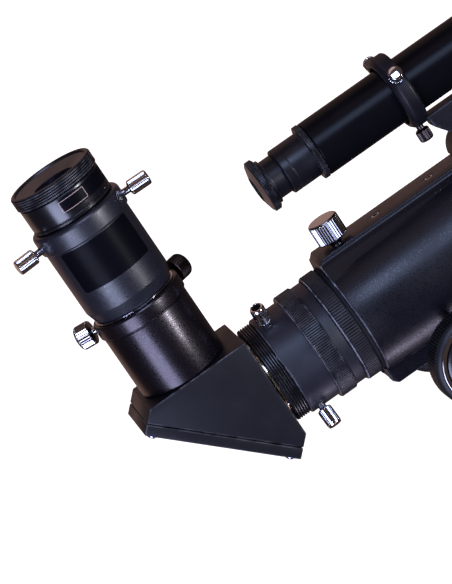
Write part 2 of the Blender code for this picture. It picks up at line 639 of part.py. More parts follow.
def make_finder_bracket():
    """The finder's bracket: two rings on a sloping web with a foot rounded at its rear."""
    axis = scope_point(0, 0, FINDER_HEIGHT)
    rear_low, rear_high = REAR_RING
    bracket = turned("finder_bracket", "black_plastic",
                     [(rear_low, 14.2), (rear_low + 1.8, 16.0), (rear_high - 0.8, 16.0), (rear_high, 15.2)],
                     [(rear_low, 13.2), (rear_high, 13.2)], axis, FORWARD, MEDIUM)
    front_ring = [(along, 15.5) for along in FRONT_RING], [(along, 12.0) for along in FRONT_RING]
    join(bracket, turned("front_finder_ring", None, *front_ring, axis, FORWARD, MEDIUM))
    base = RAIL_HEIGHT + GAP
    arc = [math.radians(angle) for angle in range(180, 89, -15)]
    dome = [(FOOT_STATION + FOOT_RADIUS * math.cos(angle), base + FOOT_RADIUS * math.sin(angle))
            for angle in arc]
    foot = dome + [(84, base + FOOT_RADIUS), (87, base + 5), (100, base + 4), (102, base + 2), (102, base)]
    web = [(62.5, 49.5), (68.4, 47.6), (68.4, 44.5), (73.4, 38.0), (78, 36), (78, 30), (97, 30), (98, 38),
           (104, 45), (113.5, 48.7), (113.5, 50.6), (107, 49.3)]
    join(bracket, side_slab("web", None, web, 4.0), side_slab("foot", None, foot, 8.8))
    place = scope_point(FINDER_SCREW_STATION, 0, FINDER_HEIGHT)
    for label, angle in FINDER_SCREW_ANGLES.items():
        towards = around_axis(angle)
        screw_hole(bracket, place, towards, 1.9, 11.0, 18.0)
        thumbscrew(f"finder_screw_{label}", place, towards, FINDER_RADIUS + GAP, 17.7, 22.9, 2.9)


def make_finder():
    """The finder: tube with a bell front, rear sleeve, draw eyepiece and its lenses."""
    axis = scope_point(0, 0, FINDER_HEIGHT)
    turned("finder_tube", "tube_paint",
           [(25.1, FINDER_RADIUS), (118.5, FINDER_RADIUS), (126, 15.0), (150, 15.2), (150.6, 14.9)],
           [(25.1, 10.0), (117, 10.0), (127, 13.7), (150.6, 13.9)], axis, FORWARD, MEDIUM)
    turned("finder_sleeve", "black_plastic",
           [(9.5, 9.2), (9.9, 9.6), (22.3, 9.6), (22.3, 11.6), (22.6, 11.8), (24.8, 11.8), (24.8, 9.7),
            (34, 9.7)],
           [(9.5, 8.6), (34, 8.6)], axis, FORWARD, MEDIUM)
    turned("finder_eyepiece", "black_plastic",
           [(-2.1, 5.8), (-0.9, 10.2), (-0.2, 11.1), (2.2, 11.1), (2.7, 10.65), (2.7, 9.4), (3.9, 9.4),
            (3.9, 8.25), (32, 8.25)],
           [(-2.1, 5.2), (1.2, 5.2), (1.6, 7.2), (32, 7.2)], axis, FORWARD, MEDIUM)
    lens("finder_eye_lens", 2.0, 5.0, 6.9, -0.3, 0.6, axis, FORWARD, 24)
    lens("finder_objective", 140.0, 143.0, 13.3, -0.8, 0.9, axis, FORWARD)


def shade_smooth_parts():
    """Shade the round parts smooth, with sharp edges kept."""
    for obj in parts.objects:
        obj.data.shade_smooth()
        obj.data.set_sharp_from_angle(angle=math.radians(30))


clear_scene()
parts = new_collection("refractor_telescope")
cutters = new_collection("cutters")
make_dovetail_bar()
make_tube_rings()
make_main_tube()
make_objective()
make_focuser_housing()
make_focuser_fittings()
make_drawtube()
make_pinion()
make_adapter()
make_diagonal()
make_barlow()
make_eyepiece()
make_finder_bracket()
make_finder()
shade_smooth_parts()
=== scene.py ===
"""Refractor telescope: its finished surfaces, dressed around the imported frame.

Sizes in the sub-assemblies are millimetres. A station is a distance along the optical axis
from the focuser's mouth, positive towards the objective; a height is measured from the
optical axis. Places come from the frame's own boxes.
"""

from __future__ import annotations

import json
import logging
import math
from collections.abc import Iterable, Sequence
from dataclasses import dataclass, field
from enum import Enum

import bmesh
import bpy
from mathutils import Matrix, Vector

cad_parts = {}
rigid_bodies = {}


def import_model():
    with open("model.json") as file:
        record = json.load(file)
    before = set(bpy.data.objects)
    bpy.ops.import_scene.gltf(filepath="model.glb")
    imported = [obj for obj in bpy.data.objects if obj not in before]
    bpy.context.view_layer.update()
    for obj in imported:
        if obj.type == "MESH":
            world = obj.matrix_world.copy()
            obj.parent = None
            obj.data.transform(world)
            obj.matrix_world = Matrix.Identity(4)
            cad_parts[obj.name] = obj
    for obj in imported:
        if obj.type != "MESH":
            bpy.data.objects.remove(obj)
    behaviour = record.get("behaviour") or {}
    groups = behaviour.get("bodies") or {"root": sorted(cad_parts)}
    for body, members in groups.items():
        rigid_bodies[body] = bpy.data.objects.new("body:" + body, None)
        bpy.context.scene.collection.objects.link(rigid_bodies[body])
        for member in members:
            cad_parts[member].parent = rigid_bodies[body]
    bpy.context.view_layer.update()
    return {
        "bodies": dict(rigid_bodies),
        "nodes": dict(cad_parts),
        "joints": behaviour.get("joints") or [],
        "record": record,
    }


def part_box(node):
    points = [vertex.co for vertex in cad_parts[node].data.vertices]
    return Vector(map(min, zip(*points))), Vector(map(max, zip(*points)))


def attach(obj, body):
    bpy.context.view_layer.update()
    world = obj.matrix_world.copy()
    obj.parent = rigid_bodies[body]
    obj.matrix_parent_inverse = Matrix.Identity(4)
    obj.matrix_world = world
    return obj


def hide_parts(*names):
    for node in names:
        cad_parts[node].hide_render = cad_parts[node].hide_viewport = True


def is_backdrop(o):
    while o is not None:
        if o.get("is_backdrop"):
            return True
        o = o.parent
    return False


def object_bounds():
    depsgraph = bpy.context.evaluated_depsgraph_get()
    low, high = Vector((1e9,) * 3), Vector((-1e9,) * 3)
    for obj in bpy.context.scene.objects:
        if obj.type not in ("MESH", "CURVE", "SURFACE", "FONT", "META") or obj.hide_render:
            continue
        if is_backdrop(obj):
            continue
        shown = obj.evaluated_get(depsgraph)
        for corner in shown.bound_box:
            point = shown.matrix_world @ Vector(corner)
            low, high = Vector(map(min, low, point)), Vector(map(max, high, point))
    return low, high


LOG = logging.getLogger("telescope")
MM = 0.001
MERGE = 1e-7
SHARP_ANGLE = math.radians(32)
FLUTE_STEPS = 8

Point = tuple[float, float]
Outline = Sequence[Point]


class Towards(Enum):
    """Directions of the telescope's own axes."""

    FORWARD = (1, 0, 0)
    BACK = (-1, 0, 0)
    LEFT = (0, 1, 0)
    RIGHT = (0, -1, 0)
    UP = (0, 0, 1)
    DOWN = (0, 0, -1)

    @property
    def vector(self) -> Vector:
        """The direction as a vector."""
        return Vector(self.value)


class Operation(Enum):
    """What a tool does to the shape that it meets."""

    ADD = "UNION"
    CUT = "DIFFERENCE"


# --------------------------------------------------------------------------- finishes


@dataclass(frozen=True)
class Finish:
    """A surface finish.

    Args:
        name: the material's name.
        slot: the record's material slot; not used.
        colour: linear base colour.
        roughness: lowest and highest roughness, which smudges vary between.
        metallic: metallic value.
        specular: specular level of the bare surface.
        coat: weight of a clear lacquer.
        grain: size of the surface grain in millimetres, or 0 for none.
        grain_depth: depth of the grain in millimetres.
        sparkle: how far single grains stand out in roughness.
        wear_and_highlight: how far the edges are rubbed to their edge colour; on the shaded chrome this paints
            highlights on the ribs.
        wear_and_highlight_width: width of the rubbed or highlighted edges in millimetres.
        wear_and_highlight_colour: colour of a rubbed edge, or of a painted highlight on the shaded chrome.
        dust: how much dust lies on it.
        transmission: share of light that passes through.
        film: thickness of an optical coating in nanometres.
        tint: colour of its reflections.
    """

    name: str
    slot: str
    colour: tuple[float, float, float]
    roughness: tuple[float, float]
    metallic: float = 0.0
    specular: float = 0.5
    coat: float = 0.0
    grain: float = 0.0
    grain_depth: float = 0.0
    sparkle: float = 0.0
    wear_and_highlight: float = 0.0
    wear_and_highlight_width: float = 0.35
    wear_and_highlight_colour: tuple[float, float, float] = (0.42, 0.42, 0.46)
    dust: float = 0.0
    transmission: float = 0.0
    film: float = 0.0
    tint: tuple[float, float, float] = (1.0, 1.0, 1.0)


HOUSING_PAINT = Finish("housing_paint", "housing_paint", (0.0028, 0.003, 0.0055), (0.33, 0.42), specular=0.26,
                       grain=0.42, grain_depth=0.03, sparkle=0.5, wear_and_highlight=0.4, wear_and_highlight_width=0.25, dust=0.04)
TUBE_ENAMEL = Finish("tube_enamel", "tube_paint", (0.004, 0.004, 0.006), (0.16, 0.24), specular=0.3, coat=0.3,
                     grain=2.5, grain_depth=0.004, dust=0.08)
FINDER_ENAMEL = Finish("finder_enamel", "tube_paint", (0.0025, 0.0024, 0.0035), (0.24, 0.3), specular=0.07,
                       grain=2.0, grain_depth=0.003, dust=0.03)
FLAT_BLACK = Finish("flat_black", "flat_black", (0.004, 0.004, 0.005), (0.85, 0.95), specular=0.15,
                    grain=0.6, grain_depth=0.03)
ANODISED = Finish("black_anodised", "black_anodised", (0.0022, 0.0016, 0.003), (0.27, 0.33), specular=0.42,
                  grain=0.34, grain_depth=0.012, sparkle=0.6, wear_and_highlight=0.12, wear_and_highlight_width=0.2, dust=0.02,
                  tint=(1.0, 0.88, 0.97))
SMOOTH_ANODISED = Finish("smooth_anodised", "black_anodised", (0.0035, 0.003, 0.005), (0.2, 0.3), specular=0.4,
                         grain=0.4, grain_depth=0.004, wear_and_highlight=0.2, wear_and_highlight_width=0.2, dust=0.03)
MOULDED = Finish("moulded_black", "black_plastic", (0.0035, 0.0034, 0.006), (0.42, 0.54), specular=0.22,
                 grain=0.42, grain_depth=0.02, sparkle=0.3, wear_and_highlight=3.5, wear_and_highlight_width=0.4,
                 wear_and_highlight_colour=(0.3, 0.3, 0.34), dust=0.06)
ADAPTER_PLASTIC = Finish("adapter_plastic", "black_plastic", (0.008, 0.0085, 0.014), (0.36, 0.5), specular=0.32,
                         grain=0.6, grain_depth=0.005, sparkle=0.2, wear_and_highlight=0.35, wear_and_highlight_width=0.22, dust=0.15)
SATIN_PLASTIC = Finish("satin_plastic", "black_plastic", (0.008, 0.0085, 0.014), (0.34, 0.42), specular=0.5,
                       grain=0.36, grain_depth=0.02, sparkle=0.45, wear_and_highlight=0.1, wear_and_highlight_width=0.25, dust=0.02)
FINDER_PLASTIC = Finish("finder_plastic", "black_plastic", (0.004, 0.004, 0.0065), (0.3, 0.4), specular=0.24,
                        grain=0.6, grain_depth=0.005, wear_and_highlight=0.3, wear_and_highlight_width=0.2, dust=0.05)
GLOSS_BLACK = Finish("gloss_black", "black_anodised", (0.003, 0.003, 0.005), (0.22, 0.28), specular=0.5,
                     grain=1.5, grain_depth=0.0015, dust=0.03)
LABEL_FILM = Finish("label_film", "black_plastic", (0.0025, 0.0025, 0.004), (0.3, 0.36), specular=0.03,
                    grain=2.0, grain_depth=0.002)
PRINTED_LINE = Finish("printed_line", "black_plastic", (0.34, 0.23, 0.21), (0.4, 0.5), grain=0.4,
                      grain_depth=0.002)
RUBBER = Finish("ribbed_rubber", "rubber", (0.0045, 0.0043, 0.007), (0.42, 0.54), specular=0.4,
                grain=0.5, grain_depth=0.008, wear_and_highlight=0.12, wear_and_highlight_width=0.2, dust=0.08)
CHROME = Finish("chrome", "chrome", (0.62, 0.61, 0.64), (0.05, 0.1), metallic=1.0,
                grain=0.8, grain_depth=0.002)
KNURLED_CHROME = Finish("knurled_chrome", "chrome", (0.27, 0.27, 0.29), (0.07, 0.12), metallic=1.0,
                        grain=0.8, grain_depth=0.002)
RIBBED_ANODISED = Finish("ribbed_anodised", "black_anodised", (0.006, 0.006, 0.0095), (0.46, 0.58),
                         specular=0.3, grain=0.4, grain_depth=0.006, wear_and_highlight=0.2, wear_and_highlight_width=0.2, dust=0.05)
RIM_RUBBER = Finish("rim_rubber", "rubber", (0.0055, 0.0052, 0.0085), (0.32, 0.42), specular=0.5,
                    grain=0.4, grain_depth=0.006, wear_and_highlight=0.3, wear_and_highlight_width=0.15, dust=0.1)
# Painted reflection: a brown, brighter than the rubber, for the eyepieces' dishes and faces, standing in for the
# warm light they reflect; it also takes real dust.
PAINTED_SHEEN = Finish("painted_sheen", "black_plastic", (0.045, 0.03, 0.026), (0.3, 0.42), specular=0.7, grain=0.5,
                    grain_depth=0.006, dust=0.2)
WORN_EDGE = Finish("worn_edge", "housing_paint", (0.035, 0.035, 0.045), (0.3, 0.5), specular=0.5, grain=0.4,
                   grain_depth=0.02, wear_and_highlight=6.0, wear_and_highlight_width=0.6, wear_and_highlight_colour=(0.36, 0.35, 0.4), dust=1.0)
# Painted shade: a dark chrome for the inside of a screw's socket, standing in for the shade in the recess.
SHADED_SOCKET = Finish("shaded_socket", "chrome", (0.02, 0.017, 0.02), (0.35, 0.5), metallic=1.0,
                 grain=0.5, grain_depth=0.004)
# Painted shade: a darker, rougher black for rib flanks, thread grooves and hex sockets, standing in for the shade
# that falls in them.
SHADED_GROOVE = Finish("shaded_groove", "rubber", (0.0015, 0.0014, 0.002), (0.6, 0.7), specular=0.2,
                grain=0.5, grain_depth=0.006)
# Painted shade and highlights: chrome darkened for screws that sit in shade, whose rubbed-edge colour paints pale
# highlights on the ribs.
SHADED_CHROME = Finish("shaded_chrome", "chrome", (0.04, 0.031, 0.033), (0.26, 0.38), metallic=1.0,
                     grain=0.8, grain_depth=0.003, wear_and_highlight=0.15, wear_and_highlight_width=0.15, wear_and_highlight_colour=(0.5, 0.5, 0.52))
STEEL = Finish("machined_steel", "steel", (0.5, 0.49, 0.5), (0.24, 0.36), metallic=1.0,
               grain=0.5, grain_depth=0.004)
BRASS = Finish("machined_brass", "brass", (0.5, 0.37, 0.2), (0.22, 0.36), metallic=1.0,
               grain=0.5, grain_depth=0.004)
FELT = Finish("black_felt", "flat_black", (0.012, 0.012, 0.014), (0.9, 1.0), specular=0.1,
              grain=0.35, grain_depth=0.12)
LOW_FRICTION = Finish("low_friction_pad", "teflon", (0.8, 0.8, 0.77), (0.4, 0.5), grain=0.8, grain_depth=0.004)
COATED_GLASS = Finish("coated_glass", "glass", (0.93, 0.97, 0.96), (0.02, 0.04), transmission=1.0, film=420.0)


class FinishShop:
    """Builds materials and the node groups that they share, each once."""

    def __init__(self) -> None:
        """Start with no materials."""
        self.made: dict[str, bpy.types.Material] = {}

    @staticmethod
    def new_group(name: str, inputs: dict[str, float], outputs: Iterable[str]) -> bpy.types.NodeTree:
        """Make an empty shader group.

        Args:
            name: the group's name.
            inputs: names of its float inputs with their defaults.
            outputs: names of its float outputs.

        Returns:
            The group, with its input and output nodes in place.
        """
        tree = bpy.data.node_groups.new(name, "ShaderNodeTree")
        for label, default in inputs.items():
            socket = tree.interface.new_socket(label, in_out="INPUT", socket_type="NodeSocketFloat")
            socket.default_value = default
        for label in outputs:
            tree.interface.new_socket(label, in_out="OUTPUT", socket_type="NodeSocketFloat")
        tree.nodes.new("NodeGroupInput")
        tree.nodes.new("NodeGroupOutput")
        return tree

    @staticmethod
    def maths(tree: bpy.types.NodeTree, operation: str, first: object, second: object,
              clamp: bool = False) -> bpy.types.NodeSocket:
        """Add a Math node.

        Args:
            tree: the tree to add to.
            operation: the Math node's operation.
            first: a socket or a number.
            second: a socket or a number.
            clamp: whether the result stays between 0 and 1.

        Returns:
            The result socket.
        """
        node = tree.nodes.new("ShaderNodeMath")
        node.operation = operation
        node.use_clamp = clamp
        for socket, value in zip(node.inputs, (first, second)):
            if isinstance(value, bpy.types.NodeSocket):
                tree.links.new(value, socket)
            else:
                socket.default_value = value
        return node.outputs[0]

    @staticmethod
    def noise(tree: bpy.types.NodeTree, scale: object, detail: float) -> bpy.types.NodeSocket:
        """Add noise in the telescope's own coordinates.

        Args:
            tree: the tree to add to.
            scale: a socket or a number of features per metre.
            detail: octaves of noise.

        Returns:
            The noise's value socket.
        """
        place = tree.nodes.new("ShaderNodeTexCoord")
        pattern = tree.nodes.new("ShaderNodeTexNoise")
        pattern.inputs["Detail"].default_value = detail
        tree.links.new(place.outputs["Object"], pattern.inputs["Vector"])
        if isinstance(scale, bpy.types.NodeSocket):
            tree.links.new(scale, pattern.inputs["Scale"])
        else:
            pattern.inputs["Scale"].default_value = scale
        return pattern.outputs["Fac"]

    def grain(self) -> bpy.types.NodeTree:
        """The surface grain: a height, and a mask of the grains that catch the light.

        Returns:
            The group, built when it is first asked for.
        """
        if "surface_grain" in bpy.data.node_groups:
            return bpy.data.node_groups["surface_grain"]
        tree = self.new_group("surface_grain", {"Per Metre": 1500.0}, ("Height", "Sparkle"))
        given, out = tree.nodes[0], tree.nodes[1]
        scale = given.outputs["Per Metre"]
        height = self.noise(tree, scale, 2.0)
        fine = self.noise(tree, self.maths(tree, "MULTIPLY", scale, 0.8), 0.0)
        lifted = self.maths(tree, "SUBTRACT", fine, 0.55)
        tree.links.new(height, out.inputs["Height"])
        tree.links.new(self.maths(tree, "MULTIPLY", lifted, 5.0, clamp=True), out.inputs["Sparkle"])
        return tree

    def edge_wear_and_highlight(self) -> bpy.types.NodeTree:
        """Paint rubbed off along sharp edges, broken up along its length; on the shaded chrome the same mask paints
        highlights on the ribs.

        Returns:
            The group, built when it is first asked for.
        """
        if "edge_wear_and_highlight" in bpy.data.node_groups:
            return bpy.data.node_groups["edge_wear_and_highlight"]
        tree = self.new_group("edge_wear_and_highlight", {"Width": 0.0004, "Amount": 0.5}, ("Mask",))
        given, out = tree.nodes[0], tree.nodes[1]
        rounded = tree.nodes.new("ShaderNodeBevel")
        rounded.samples = 6
        tree.links.new(given.outputs["Width"], rounded.inputs["Radius"])
        true_normal = tree.nodes.new("ShaderNodeNewGeometry")
        facing = tree.nodes.new("ShaderNodeVectorMath")
        facing.operation = "DOT_PRODUCT"
        tree.links.new(rounded.outputs["Normal"], facing.inputs[0])
        tree.links.new(true_normal.outputs["Normal"], facing.inputs[1])
        turn = self.maths(tree, "SUBTRACT", 1.0, facing.outputs["Value"])
        edge = self.maths(tree, "MULTIPLY", turn, 9.0, clamp=True)
        patches = self.maths(tree, "SUBTRACT", self.noise(tree, 260.0, 3.0), 0.4)
        broken = self.maths(tree, "MULTIPLY", self.maths(tree, "MULTIPLY", patches, 5.0, clamp=True), edge)
        edge_or_face = self.maths(tree, "MULTIPLY", broken, given.outputs["Amount"], clamp=True)
        tree.links.new(edge_or_face, out.inputs["Mask"])
        return tree

    def handling(self) -> bpy.types.NodeTree:
        """Marks of use: a roughness that smudges vary, and a mask of the dust in them.

        Returns:
            The group, built when it is first asked for.
        """
        if "handling_marks" in bpy.data.node_groups:
            return bpy.data.node_groups["handling_marks"]
        tree = self.new_group("handling_marks", {"Low": 0.3, "High": 0.5, "Sparkle": 0.0, "Dust": 0.0},
                              ("Roughness", "Dust Mask"))
        given, out = tree.nodes[0], tree.nodes[1]
        broad = self.noise(tree, 55.0, 4.0)
        step = tree.nodes.new("ShaderNodeMapRange")
        step.inputs["From Min"].default_value = 0.3
        step.inputs["From Max"].default_value = 0.7
        tree.links.new(broad, step.inputs["Value"])
        tree.links.new(given.outputs["Low"], step.inputs["To Min"])
        tree.links.new(given.outputs["High"], step.inputs["To Max"])
        bright = self.maths(tree, "MULTIPLY", given.outputs["Sparkle"], 0.28)
        rough = self.maths(tree, "SUBTRACT", step.outputs["Result"], bright, clamp=True)
        patch = self.maths(tree, "MULTIPLY", self.maths(tree, "SUBTRACT", self.noise(tree, 90.0, 6.0), 0.52), 4.0,
                           clamp=True)
        speck = self.maths(tree, "GREATER_THAN", self.noise(tree, 2400.0, 1.0), 0.72)
        both = self.maths(tree, "ADD", self.maths(tree, "MULTIPLY", patch, 0.12), self.maths(
            tree, "MULTIPLY", speck, 0.18))
        tree.links.new(rough, out.inputs["Roughness"])
        tree.links.new(self.maths(tree, "MULTIPLY", both, given.outputs["Dust"], clamp=True),
                       out.inputs["Dust Mask"])
        return tree

    @staticmethod
    def placed(tree: bpy.types.NodeTree, group: bpy.types.NodeTree, **values: float) -> bpy.types.Node:
        """Place a group in a material with its own input values.

        Args:
            tree: the material's tree.
            group: the group.
            values: its input values, by their names with underscores for spaces.

        Returns:
            The group's node.
        """
        node = tree.nodes.new("ShaderNodeGroup")
        node.node_tree = group
        for label, value in values.items():
            node.inputs[label.replace("_", " ")].default_value = value
        return node

    @staticmethod
    def tinted(tree: bpy.types.NodeTree, mask: bpy.types.NodeSocket, base: object,
               tint: tuple[float, float, float]) -> bpy.types.NodeSocket:
        """Mix a tint over a base colour where the mask says.

        Args:
            tree: the material's tree.
            mask: how much of the tint shows.
            base: a colour or a colour socket.
            tint: the colour laid over it.

        Returns:
            The mixed colour's socket.
        """
        mix = tree.nodes.new("ShaderNodeMix")
        mix.data_type = "RGBA"
        tree.links.new(mask, mix.inputs["Factor"])
        first, second = (socket for socket in mix.inputs if socket.type == "RGBA")
        if isinstance(base, bpy.types.NodeSocket):
            tree.links.new(base, first)
        else:
            first.default_value = (*base, 1.0)
        second.default_value = (*tint, 1.0)
        return next(socket for socket in mix.outputs if socket.type == "RGBA")

    def material(self, finish: Finish) -> bpy.types.Material:
        """The material of a finish, built when it is first asked for.

        Args:
            finish: the finish.

        Returns:
            Its material.
        """
        if finish.name in self.made:
            return self.made[finish.name]
        made = bpy.data.materials.new(finish.name)
        made.use_nodes = True
        tree = made.node_tree
        shader = tree.nodes["Principled BSDF"]
        shader.inputs["Metallic"].default_value = finish.metallic
        shader.inputs["Specular IOR Level"].default_value = finish.specular
        shader.inputs["Specular Tint"].default_value = (*finish.tint, 1.0)
        shader.inputs["Coat Weight"].default_value = finish.coat
        shader.inputs["Coat Roughness"].default_value = 0.12
        shader.inputs["Transmission Weight"].default_value = finish.transmission
        shader.inputs["Thin Film Thickness"].default_value = finish.film
        shader.inputs["Base Color"].default_value = (*finish.colour, 1.0)
        low, high = finish.roughness
        marks = self.placed(tree, self.handling(), Low=low, High=high, Dust=finish.dust)
        tree.links.new(marks.outputs["Roughness"], shader.inputs["Roughness"])
        if finish.grain:
            grain = self.placed(tree, self.grain(), Per_Metre=1 / (finish.grain * MM))
            relief = tree.nodes.new("ShaderNodeBump")
            relief.inputs["Strength"].default_value = 1.0
            relief.inputs["Distance"].default_value = finish.grain_depth * MM
            tree.links.new(grain.outputs["Height"], relief.inputs["Height"])
            tree.links.new(relief.outputs["Normal"], shader.inputs["Normal"])
            if finish.sparkle:
                share = self.maths(tree, "MULTIPLY", grain.outputs["Sparkle"], finish.sparkle)
                tree.links.new(share, marks.inputs["Sparkle"])
        colour: object = finish.colour
        if finish.dust:
            colour = self.tinted(tree, marks.outputs["Dust Mask"], colour, (0.3, 0.28, 0.3))
        if finish.wear_and_highlight:
            wear_and_highlight = self.placed(tree, self.edge_wear_and_highlight(), Width=finish.wear_and_highlight_width * MM, Amount=finish.wear_and_highlight)
            colour = self.tinted(tree, wear_and_highlight.outputs["Mask"], colour, finish.wear_and_highlight_colour)
        if isinstance(colour, bpy.types.NodeSocket):
            tree.links.new(colour, shader.inputs["Base Color"])
        self.made[finish.name] = made
        return made


SHOP = FinishShop()


# --------------------------------------------------------------------------- shaping


@dataclass(frozen=True)
class Line:
    """A straight line that a turned piece is made about.

    Args:
        place: a point on it, in metres.
        towards: its direction.
    """

    place: Vector
    towards: Vector

    def frame(self) -> Matrix:
        """The transform from a piece made about Z at the origin to its place."""
        turn = Vector((0, 0, 1)).rotation_difference(self.towards).to_matrix().to_4x4()
        return Matrix.Translation(self.place) @ turn


@dataclass(frozen=True)
class Ribs:
    """Ribs along a turned piece, one for each of its facets.

    Args:
        low: where they start along the piece.
        high: where they end.
        radius: radius of the ground between them.
        depth: how far they stand out.
        gap: the ground's share of a rib's pitch, on each side.
    """

    low: float
    high: float
    radius: float
    depth: float
    gap: float = 0.2


def softened(outline: Outline, radius: float, closed: bool) -> list[Point]:
    """Round an outline's corners.

    Args:
        outline: its corners as (along, radius).
        radius: how far from a corner the rounding starts.
        closed: whether the last corner joins the first.

    Returns:
        The outline with an arc of three points at each corner.
    """
    count = len(outline)
    result: list[Point] = []
    for index, corner in enumerate(outline):
        here = Vector(corner)
        if not closed and index in (0, count - 1):
            result.append(corner)
            continue
        before, after = Vector(outline[index - 1]), Vector(outline[(index + 1) % count])
        back, ahead = before - here, after - here
        if back.length < 1e-6 or ahead.length < 1e-6 or back.angle(ahead) > math.radians(168):
            result.append(corner)
            continue
        start = here + back.normalized() * min(radius, back.length * 0.42)
        end = here + ahead.normalized() * min(radius, ahead.length * 0.42)
        middle = start * 0.25 + here * 0.5 + end * 0.25
        result += [tuple(start), tuple(middle), tuple(end)]
    return result


def turned(line: Line, outer: Outline, inner: Outline = (), steps: int = 96, soft: float = 0.25,
           ribs: Sequence[Ribs] = (), lining: bool = False) -> bmesh.types.BMesh:
    """Turn a piece on a line.

    Args:
        line: the line that it turns about.
        outer: its outside as (along, radius) from the near end to the far end.
        inner: its bore in the same way, or nothing for a solid piece.
        steps: facets round it.
        soft: size of its corners' rounding.
        ribs: ribs along it.
        lining: whether the bore's faces take the second material.

    Returns:
        The piece in its place.
    """
    shape = bmesh.new()
    if inner:
        corners = softened([*outer, *reversed(inner)], soft, closed=True)
    else:
        ends = [(outer[0][0], 0.0)] * (outer[0][1] > 0), [(outer[-1][0], 0.0)] * (outer[-1][1] > 0)
        corners = softened([*ends[0], *outer, *ends[1]], soft, closed=False)
    points = [shape.verts.new((radius * MM, 0, along * MM)) for along, radius in corners]
    path = [shape.edges.new(pair) for pair in zip(points, points[1:])]
    if inner:
        path.append(shape.edges.new((points[-1], points[0])))
    bmesh.ops.spin(shape, geom=points + path, cent=(0, 0, 0), axis=(0, 0, 1), angle=math.tau, steps=steps,
                   use_merge=True)
    bmesh.ops.remove_doubles(shape, verts=shape.verts, dist=MERGE)
    bmesh.ops.dissolve_degenerate(shape, edges=shape.edges, dist=MERGE)
    bmesh.ops.recalc_face_normals(shape, faces=shape.faces)
    for band in ribs:
        raise_ribs(shape, band, steps)
    if lining:
        for face in shape.faces:
            middle = face.calc_center_median()
            out = Vector((middle.x, middle.y, 0))
            if out.length > 0 and face.normal.dot(out.normalized()) < -0.5:
                face.material_index = 1
    bmesh.ops.transform(shape, matrix=line.frame(), verts=shape.verts)
    return shape


def raise_ribs(shape: bmesh.types.BMesh, band: Ribs, steps: int) -> None:
    """Raise a band of a turned piece's facets into ribs.

    Args:
        shape: the piece, still about Z at the origin.
        band: the ribs.
        steps: facets round the piece.
    """
    width = math.tau * band.radius * MM / steps
    chosen = []
    for face in shape.faces:
        middle = face.calc_center_median()
        reach = math.hypot(middle.x, middle.y) / MM
        inside = band.low < middle.z / MM < band.high
        if inside and abs(reach - band.radius) < 0.12 and abs(face.normal.z) < 0.5 and face.normal.dot(
                Vector((middle.x, middle.y, 0))) > 0:
            chosen.append(face)
    grown = bmesh.ops.inset_individual(shape, faces=chosen, thickness=width * band.gap,
                                       depth=band.depth * MM, use_even_offset=True)
    # The new side faces take the second material, which callers give as painted shade for the grooves between the
    # ribs.
    for face in grown["faces"]:
        face.material_index = 1


def flute(shape: bmesh.types.BMesh, line: Line, span: Point, count: int, depth: float) -> None:
    """Press rounded grooves into a turned piece, along its line.

    Args:
        shape: the piece in its place.
        line: the line that it turns about.
        span: where the grooves start and end along the line.
        count: how many grooves there are.
        depth: their depth in millimetres.
    """
    place = line.frame()
    back = place.inverted()
    for vertex in shape.verts:
        here = back @ vertex.co
        reach = math.hypot(here.x, here.y)
        if span[0] < here.z / MM < span[1] and reach > 0:
            dip = depth * MM * (1 - math.cos(count * math.atan2(here.y, here.x))) / 2
            vertex.co = place @ Vector((here.x * (1 - dip / reach), here.y * (1 - dip / reach), here.z))


def mark(shape: bmesh.types.BMesh, line: Line, span: Point, radii: Point, index: int) -> None:
    """Give a material to the faces of a turned piece that lie in a span.

    Args:
        shape: the piece in its place.
        line: the line that it turns about.
        span: the lowest and highest place along the line.
        radii: the smallest and largest distance from it.
        index: the material's number on the piece.
    """
    back = line.frame().inverted()
    for face in shape.faces:
        middle = back @ face.calc_center_median()
        reach = math.hypot(middle.x, middle.y) / MM
        if span[0] < middle.z / MM < span[1] and radii[0] < reach < radii[1]:
            face.material_index = index


def block(low: Vector, high: Vector, soft: float = 0.4, segments: int = 3) -> bmesh.types.BMesh:
    """A box with rounded edges between two corners given in metres.

    Args:
        low: its lowest corner.
        high: its highest corner.
        soft: the rounding of its edges in millimetres.
        segments: facets of the rounding.

    Returns:
        The closed box.
    """
    shape = bmesh.new()
    size = high - low
    bmesh.ops.create_cube(shape, size=1.0, matrix=Matrix.Translation((low + high) / 2) @ Matrix.Diagonal(
        (*size, 1.0)))
    if soft:
        bmesh.ops.bevel(shape, geom=shape.edges[:], offset=soft * MM, offset_type="OFFSET", segments=segments,
                        profile=0.5, affect="EDGES", material=-1, clamp_overlap=True)
    return shape


def slab(outline: Sequence[Vector], across: Vector, soft: float = 0.4, segments: int = 3) -> bmesh.types.BMesh:
    """Extrude a flat outline and round its edges.

    Args:
        outline: the near face's corners, in metres.
        across: how far and which way it is extruded.
        soft: the rounding of its edges.
        segments: facets of the rounding.

    Returns:
        The closed slab.
    """
    shape = bmesh.new()
    near = shape.faces.new([shape.verts.new(corner) for corner in outline])
    grown = bmesh.ops.extrude_face_region(shape, geom=[near], use_keep_orig=True)
    far = [item for item in grown["geom"] if isinstance(item, bmesh.types.BMVert)]
    bmesh.ops.translate(shape, verts=far, vec=across)
    bmesh.ops.recalc_face_normals(shape, faces=shape.faces)
    if soft:
        sharp = [edge for edge in shape.edges if edge.calc_face_angle(0.0) > math.radians(18)]
        bmesh.ops.bevel(shape, geom=sharp, offset=soft * MM, offset_type="OFFSET", segments=segments,
                        profile=0.5, affect="EDGES", material=-1, clamp_overlap=True)
    return shape


